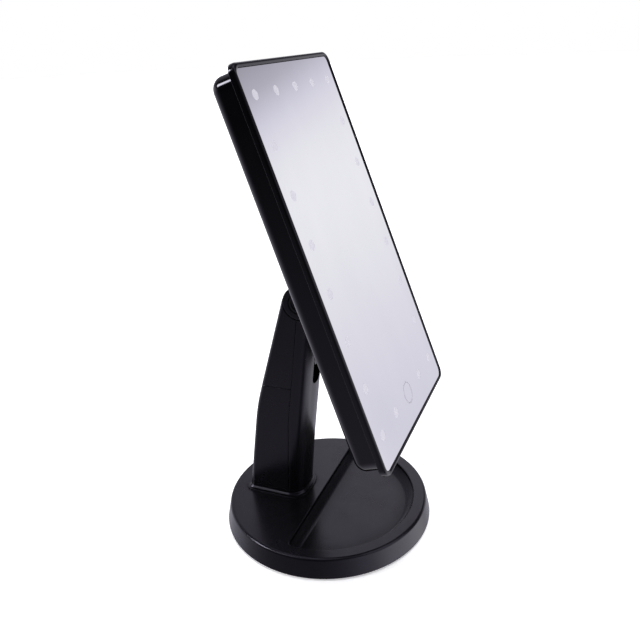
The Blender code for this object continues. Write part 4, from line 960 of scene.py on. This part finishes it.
# ---- switch ----
def build_switch():
    travel = Vector(JOINT["switch_slide"]["axis"])
    lean = math.atan2(travel.y, -travel.z)
    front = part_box("switch_knob")[0].y
    place = Matrix.Translation((0, front, middle_of("switch_knob").z))
    axes = place @ Matrix.Rotation(lean, 4, "X")
    low, high = box_in("switch_knob", axes)
    flange_back = high.y - 2.1 * MM
    face = low.y + 0.6 * MM
    half_x, half_z, corner = 5.2 * MM, 7.6 * MM, 3.6 * MM
    centre_z = high.z - 0.4 * MM - half_z
    edge = 0.6 * MM
    profile = arc((edge, face + edge), edge, 270, 180, 5) + [(0.0, flange_back - 0.2 * MM)]
    knob = loft("slide_knob", shrinking(half_x, half_z, corner, profile, centre_z), axes)
    flange = (low.x, flange_back - MM, low.z), (high.x, flange_back, high.z)
    works = [(JOIN, block("flange", *flange, axes))]
    rib_half, rib_pitch = 3.6 * MM, 3.2 * MM
    for step in (-1, 0, 1):
        z = centre_z + step * rib_pitch
        rib = shaft("rib", 0.6 * MM, (-rib_half, face, z), (rib_half, face, z), axes, 24)
        works.append((JOIN, rib))
    carve(knob, works)
    piece(knob, "switch_knob")


# ---- screws, springs and cells ----
def cross_ring(reach, width, z):
    """A cross in plan, anticlockwise from its +X arm."""
    half = width / 2
    points = []
    for quarter in range(4):
        turn = Matrix.Rotation(math.radians(90 * quarter), 3, "Z")
        for x, y in ((half, -half), (reach, -half), (reach, half)):
            points.append(tuple(turn @ Vector((x, y, z))))
    return points


def build_screw(node, head_height, axes, towards):
    """A pan-head screw in place of a plain one; its head faces towards in the given frame."""
    low, high = box_in(node, axes)
    towards = Vector(towards)
    crown = abs((high - low).dot(towards)) / 2
    radius = min(high.x - low.x, max(high.y - low.y, high.z - low.z)) / 2
    seat = crown - head_height
    shank = radius * 0.45
    turn = Vector((0, 0, 1)).rotation_difference(towards).to_matrix().to_4x4()
    place = axes @ Matrix.Translation((low + high) / 2) @ turn
    profile = [(shank, shank - crown), (shank, seat), (radius, seat), (radius, seat + head_height * 0.3)]
    profile += [(radius * (0.62 + 0.38 * math.cos(a)), seat + head_height * (0.3 + 0.7 * math.sin(a)))
                for a in quarter(6)[1:]]
    bm = bmesh.new()
    first, last = skin(bm, [circle(r, z, 48) for r, z in profile])
    tip = bm.verts.new((0, 0, -crown))
    for start, end in zip(first, first[1:] + first[:1]):
        bm.faces.new((end, start, tip))
    top_reach = radius * 0.5
    rim, floor = skin(bm, [cross_ring(top_reach, radius * 0.24, crown),
                           cross_ring(top_reach * 0.7, radius * 0.18, crown - head_height * 0.55)])
    fill(bm, last, rim)
    fill(bm, floor)
    piece(to_object(node + "_fine", bm, place), node)


def build_screws():
    down, back = (0, 0, -1), (0, 1, 0)
    kinds = (("cover_screw_", 3, COVER_HEAD_HEIGHT, Matrix(), down),
             ("column_screw_", 2, 1.6 * MM, Matrix(), down),
             ("shell_screw_", 2, HEAD_HEIGHT, Matrix(), back),
             ("bracket_screw_", 4, HEAD_HEIGHT, HEAD, back),
             ("housing_screw_", 4, HEAD_HEIGHT, HEAD, back))
    for stem, count, head_height, axes, towards in kinds:
        for node in numbered(stem, count):
            build_screw(node, head_height, axes, towards)


def wire_rings(path, radius, sides=10):
    """Rings round a path of points."""
    rings = []
    for index, point in enumerate(path):
        ahead = Vector(path[min(index + 1, len(path) - 1)])
        behind = Vector(path[max(index - 1, 0)])
        along = (ahead - behind).normalized()
        across = along.cross(Vector((0, 0, 1))).normalized()
        other = along.cross(across)
        rings.append([Vector(point) + across * x + other * y for x, y, _ in circle(radius, 0.0, sides)])
    return rings


def build_holder(axes):
    """The cells' holder and its contact plates."""
    flat = axes @ Matrix.Rotation(math.radians(-90), 4, "X")
    low, high = box_in("battery_tray", axes)
    wall = 1.2 * MM
    corner = 3.0 * MM
    holder = block("cell_holder", low, (high.x, low.y + wall, high.z), axes)
    outline = [(low.x, low.y + 0.3 * MM), (high.x, low.y + 0.3 * MM)]
    outline += arc((high.x - corner, high.y - corner), corner, 0, 90, 8)
    outline += arc((low.x + corner, high.y - corner), corner, 90, 180, 8)
    ends = [prism("end_wall", outline, -z - wall, -z, flat) for z in (low.z, high.z - wall)]
    carve(holder, [(JOIN, end) for end in ends])
    soften(holder, 0.25 * MM)
    piece(holder, "battery_tray")

    for label in ("top_left", "top_right", "bottom_left", "bottom_right"):
        low, high = box_in("contact_" + label, axes)
        middle, half = (low + high) / 2, (high - low) / 2
        outline = [(x + middle.x, y + middle.y) for x, y in rounded_outline(half.x, half.y, 1.4 * MM)]
        plate = prism("contact_plate_" + label, outline, -high.z, -low.z, flat)
        x, y, _ = middle
        ends = (x, y, low.z - MM), (x, y, high.z + MM)
        carve(plate, [(CUT, shaft("rivet_hole", 0.9 * MM, *ends, axes, 32))])
        soften(plate, 0.08 * MM, segments=2)
        piece(plate, "contact_" + label)


def build_cell(node, length, radius, place):
    """A cell along its own Z axis, with its nub at the top."""
    nub = 1.0 * MM
    bottom, top = -length / 2, length / 2 - nub
    edge = 0.45 * MM
    profile = [(0, bottom), (radius - edge - 0.3 * MM, bottom)]
    profile += arc((radius - edge, bottom + edge), edge, -90, 0, 5)
    profile += arc((radius - edge, top - edge), edge, 0, 90, 5)
    profile += [(radius - 0.9 * MM, top - 0.15 * MM), (2.1 * MM, top - 0.15 * MM), (1.9 * MM, top),
                (1.9 * MM, top + nub - 0.2 * MM), (1.7 * MM, top + nub), (0, top + nub)]
    bm = bmesh.new()
    lathe(bm, profile, steps=64)
    layer = bm.loops.layers.uv.new("along")
    for face in bm.faces:
        for corner in face.loops:
            x, y, z = corner.vert.co
            corner[layer].uv = (math.atan2(y, x) / (2 * math.pi), (z - bottom) / length)
    piece(to_object(node + "_fine", bm, place), node)


def build_spring(node, height, radius, place):
    """A coil that narrows upwards from its seat."""
    wire = 0.25 * MM
    turns, steps = 3.25, 91
    path = []
    for step in range(steps + 1):
        share = step / steps
        angle = 2 * math.pi * turns * share
        reach = (radius - wire) * (1.0 - 0.35 * share)
        rise = wire + (height - 2 * wire) * share
        path.append((reach * math.cos(angle), reach * math.sin(angle), rise))
    piece(loft(node + "_fine", wire_rings(path, wire), place), node)


def build_power():
    """The cells' holder, cells and springs, in the holder's own leaning frame."""
    axes = axes_facing("battery_tray", middle_of("battery_tray"))
    build_holder(axes)
    for node, spring in zip(numbered("cell_", 4), numbered("contact_spring_", 4)):
        low, high = box_in(node, axes)
        spring_low, spring_high = box_in(spring, axes)
        middle = (low + high) / 2
        up = spring_high.z < middle.z
        flip = Matrix() if up else Matrix.Rotation(math.pi, 4, "X")
        seat = Vector((middle.x, middle.y, spring_low.z if up else spring_high.z))
        size, spring_size = high - low, spring_high - spring_low
        build_cell(node, size.z, size.x / 2, axes @ Matrix.Translation(middle) @ flip)
        build_spring(spring, spring_size.z, spring_size.x / 2, axes @ Matrix.Translation(seat) @ flip)


# ---- stage, light and camera ----
CAMERA_PLACE = Vector((-0.35803, -0.15456, 0.28903))
CAMERA_YAW = math.radians(-67.03)
CAMERA_PITCH = math.radians(14.43)
CAMERA_ROLL = math.radians(-2.56)
CAMERA_LENS = 40.55
CAMERA_SENSOR = 36.0
CAMERA_SHIFT = -0.165

# the studio's brightness by elevation in degrees, on its bright side and on its dark side
BRIGHT_SIDE = ((-90, 0.95), (-55, 0.70), (-40, 0.60), (-16, 0.66), (-8, 0.75), (-1, 0.86), (4, 0.89),
               (7.5, 0.85), (10.5, 0.70), (13, 0.47), (18, 0.20), (25, 0.05), (70, 0.05), (90, 1.1))
DARK_SIDE = ((-90, 0.80), (-55, 0.45), (-40, 0.32), (-22, 0.17), (-9, 0.04), (0, 0.02), (35, 0.03),
             (65, 0.08), (90, 1.1))
DARK_AZIMUTH = 165          # degrees, from +X towards +Y
DARK_SPREAD = (12, 80)      # fully dark within the first angle, bright beyond the second
# azimuth, elevation, inner and outer angle in degrees, brightness
SOFT_LIGHTS = ((56, 30, 10, 38, 0.32), (16, 35, 3, 17, 0.82), (-74, -28, 8, 42, 1.55),
               (-142, -36, 4, 15, 0.04), (-90, 42, 8, 30, 0.72), (-52, 14, 8, 24, 0.04),
               (146, 46, 3, 10, 2.2), (121, 29, 4, 10, 16.0))
FLOOR_LIFT = 0.45           # keeps the shadow on the floor faint
LAVENDER = (1.0, 0.975, 1.12)  # the studio's tint where it is dim
CLEAN = (1.0, 0.995, 1.04)  # and where it is bright
TINT_LEVELS = (0.65, 0.85)  # dim below the first, bright above the second
WHITE = (1.0, 1.0, 1.0)
FLOOR_RADIUS = 6.0
OVERHEAD = (10, 72, 2.9, 60)  # azimuth, elevation, strength, angle across


def build_camera():
    data = bpy.data.cameras.new("camera")
    data.lens = CAMERA_LENS
    data.sensor_width = CAMERA_SENSOR
    data.clip_start = 0.01
    camera = add("camera", data)
    camera.matrix_world = (Matrix.Translation(CAMERA_PLACE) @ Matrix.Rotation(CAMERA_YAW, 4, "Z")
                           @ Matrix.Rotation(math.pi / 2 - CAMERA_PITCH, 4, "X")
                           @ Matrix.Rotation(CAMERA_ROLL, 4, "Z"))
    bpy.context.scene.camera = camera

    # the lens is shifted at this place only; a camera moved elsewhere looks straight ahead
    mark = add("camera_mark", None)
    mark.location = CAMERA_PLACE
    curve = data.driver_add("shift_y")
    curve.driver.type = "AVERAGE"
    moved = curve.driver.variables.new()
    moved.type = "LOC_DIFF"
    moved.targets[0].id = camera
    moved.targets[1].id = mark
    ramp = curve.modifiers[0]
    ramp.poly_order = 1
    ramp.coefficients = (CAMERA_SHIFT, 1000.0)
    ceiling = curve.modifiers.new("LIMITS")
    ceiling.use_max_y = True
    ceiling.max_y = 0.0


def aim(azimuth, elevation):
    azimuth, elevation = math.radians(azimuth), math.radians(elevation)
    flat = math.cos(elevation)
    return Vector((flat * math.cos(azimuth), flat * math.sin(azimuth), math.sin(elevation)))


def studio_colour(paint, direction):
    """Light arriving from a direction: bright from the right and behind, dark from the left."""
    axes = paint.node("SeparateXYZ", {0: direction})
    height = paint.spread(axes.outputs["Z"], -1.0, 1.0)

    def by_height(levels):
        ramp = paint.node("ValToRGB", {0: height})
        ramp.color_ramp.interpolation = "B_SPLINE"
        stops = ramp.color_ramp.elements
        for index, (elevation, level) in enumerate(levels):
            place = 0.5 + 0.5 * math.sin(math.radians(elevation))
            stop = stops[index] if index < 2 else stops.new(place)
            stop.position = place
            stop.color = (level, level, level, 1.0)
        return ramp.outputs["Color"]

    def near(facing, towards, inner, outer):
        match = paint.vector("DOT_PRODUCT", facing, towards, "Value")
        limits = {"Value": match, "From Min": math.cos(math.radians(outer)),
                  "From Max": math.cos(math.radians(inner))}
        return paint.node("MapRange", limits, interpolation_type="SMOOTHSTEP").outputs["Result"]

    level_part = {0: axes.outputs["X"], 1: axes.outputs["Y"], 2: 0.0}
    across = paint.vector("NORMALIZE", paint.node("CombineXYZ", level_part).outputs[0])
    dark = near(across, aim(DARK_AZIMUTH, 0), *DARK_SPREAD)
    level = paint.mix(dark, by_height(BRIGHT_SIDE), by_height(DARK_SIDE))
    for azimuth, elevation, inner, outer, glow in SOFT_LIGHTS:
        level = paint.mix(near(direction, aim(azimuth, elevation), inner, outer), level, (glow,) * 3)
    tint = paint.mix(paint.spread(level, *TINT_LEVELS), LAVENDER, CLEAN)
    return paint.vector("MULTIPLY", level, tint)


def build_floor():
    """A pale disc; in reflections it takes the studio's colour, so that no horizon shows."""
    bm = bmesh.new()
    fill(bm, [bm.verts.new(point) for point in circle(FLOOR_RADIUS, 0.0, 128)])
    floor = to_object("floor", bm)
    paint = Paint("pale_floor")
    pale = paint.mix(paint.noise(0.4), (0.93, 0.93, 0.935), (0.95, 0.95, 0.955))
    paint.set(Base_Color=pale, Roughness=0.6, Specular_IOR_Level=0.0)
    paint.set(Emission_Color=WHITE, Emission_Strength=FLOOR_LIFT)
    incoming = paint.node("NewGeometry").outputs["Incoming"]
    away = paint.vector("MULTIPLY", incoming, (-1, -1, -1))
    glow = paint.node("Emission", {"Color": studio_colour(paint, away)})
    seen = paint.node("LightPath").outputs["Is Camera Ray"]
    both = paint.node("MixShader", {0: seen})
    paint.put(both.inputs[1], glow.outputs[0])
    paint.put(both.inputs[2], paint.shader.outputs[0])
    paint.put(paint.tree.nodes["Material Output"].inputs["Surface"], both.outputs[0])
    floor.data.materials.append(paint.material)


def build_world():
    """White where the camera looks past the floor, the studio's colours for everything else."""
    world = bpy.data.worlds.new("studio")
    bpy.context.scene.world = world
    world.use_nodes = True
    paint = Paint.for_tree(world.node_tree)
    direction = paint.node("TexCoord").outputs["Generated"]
    seen = paint.node("LightPath").outputs["Is Camera Ray"]
    colour = paint.mix(seen, studio_colour(paint, direction), WHITE)
    paint.put(world.node_tree.nodes["Background"].inputs["Color"], colour)


def build_sun(name, azimuth, elevation, strength, across):
    data = bpy.data.lights.new(name, "SUN")
    data.energy = strength
    data.angle = math.radians(across)
    sun = add(name, data)
    sun.rotation_euler = (0, math.radians(90 - elevation), math.radians(azimuth))
    sun.visible_glossy = False


def build_stage():
    build_floor()
    build_world()
    build_sun("overhead", *OVERHEAD)
    bpy.context.scene.view_settings.view_transform = "Standard"


# ---- assembly ----
for name, obj in nodes.items():
    obj.data.materials.clear()
    obj.data.materials.append(materials[SLOT_OF[name]])

build_base()
build_column()
build_hinge()
build_bezel()
build_housing()
build_pane()
build_switch()
build_screws()
build_power()
build_stage()
build_camera()
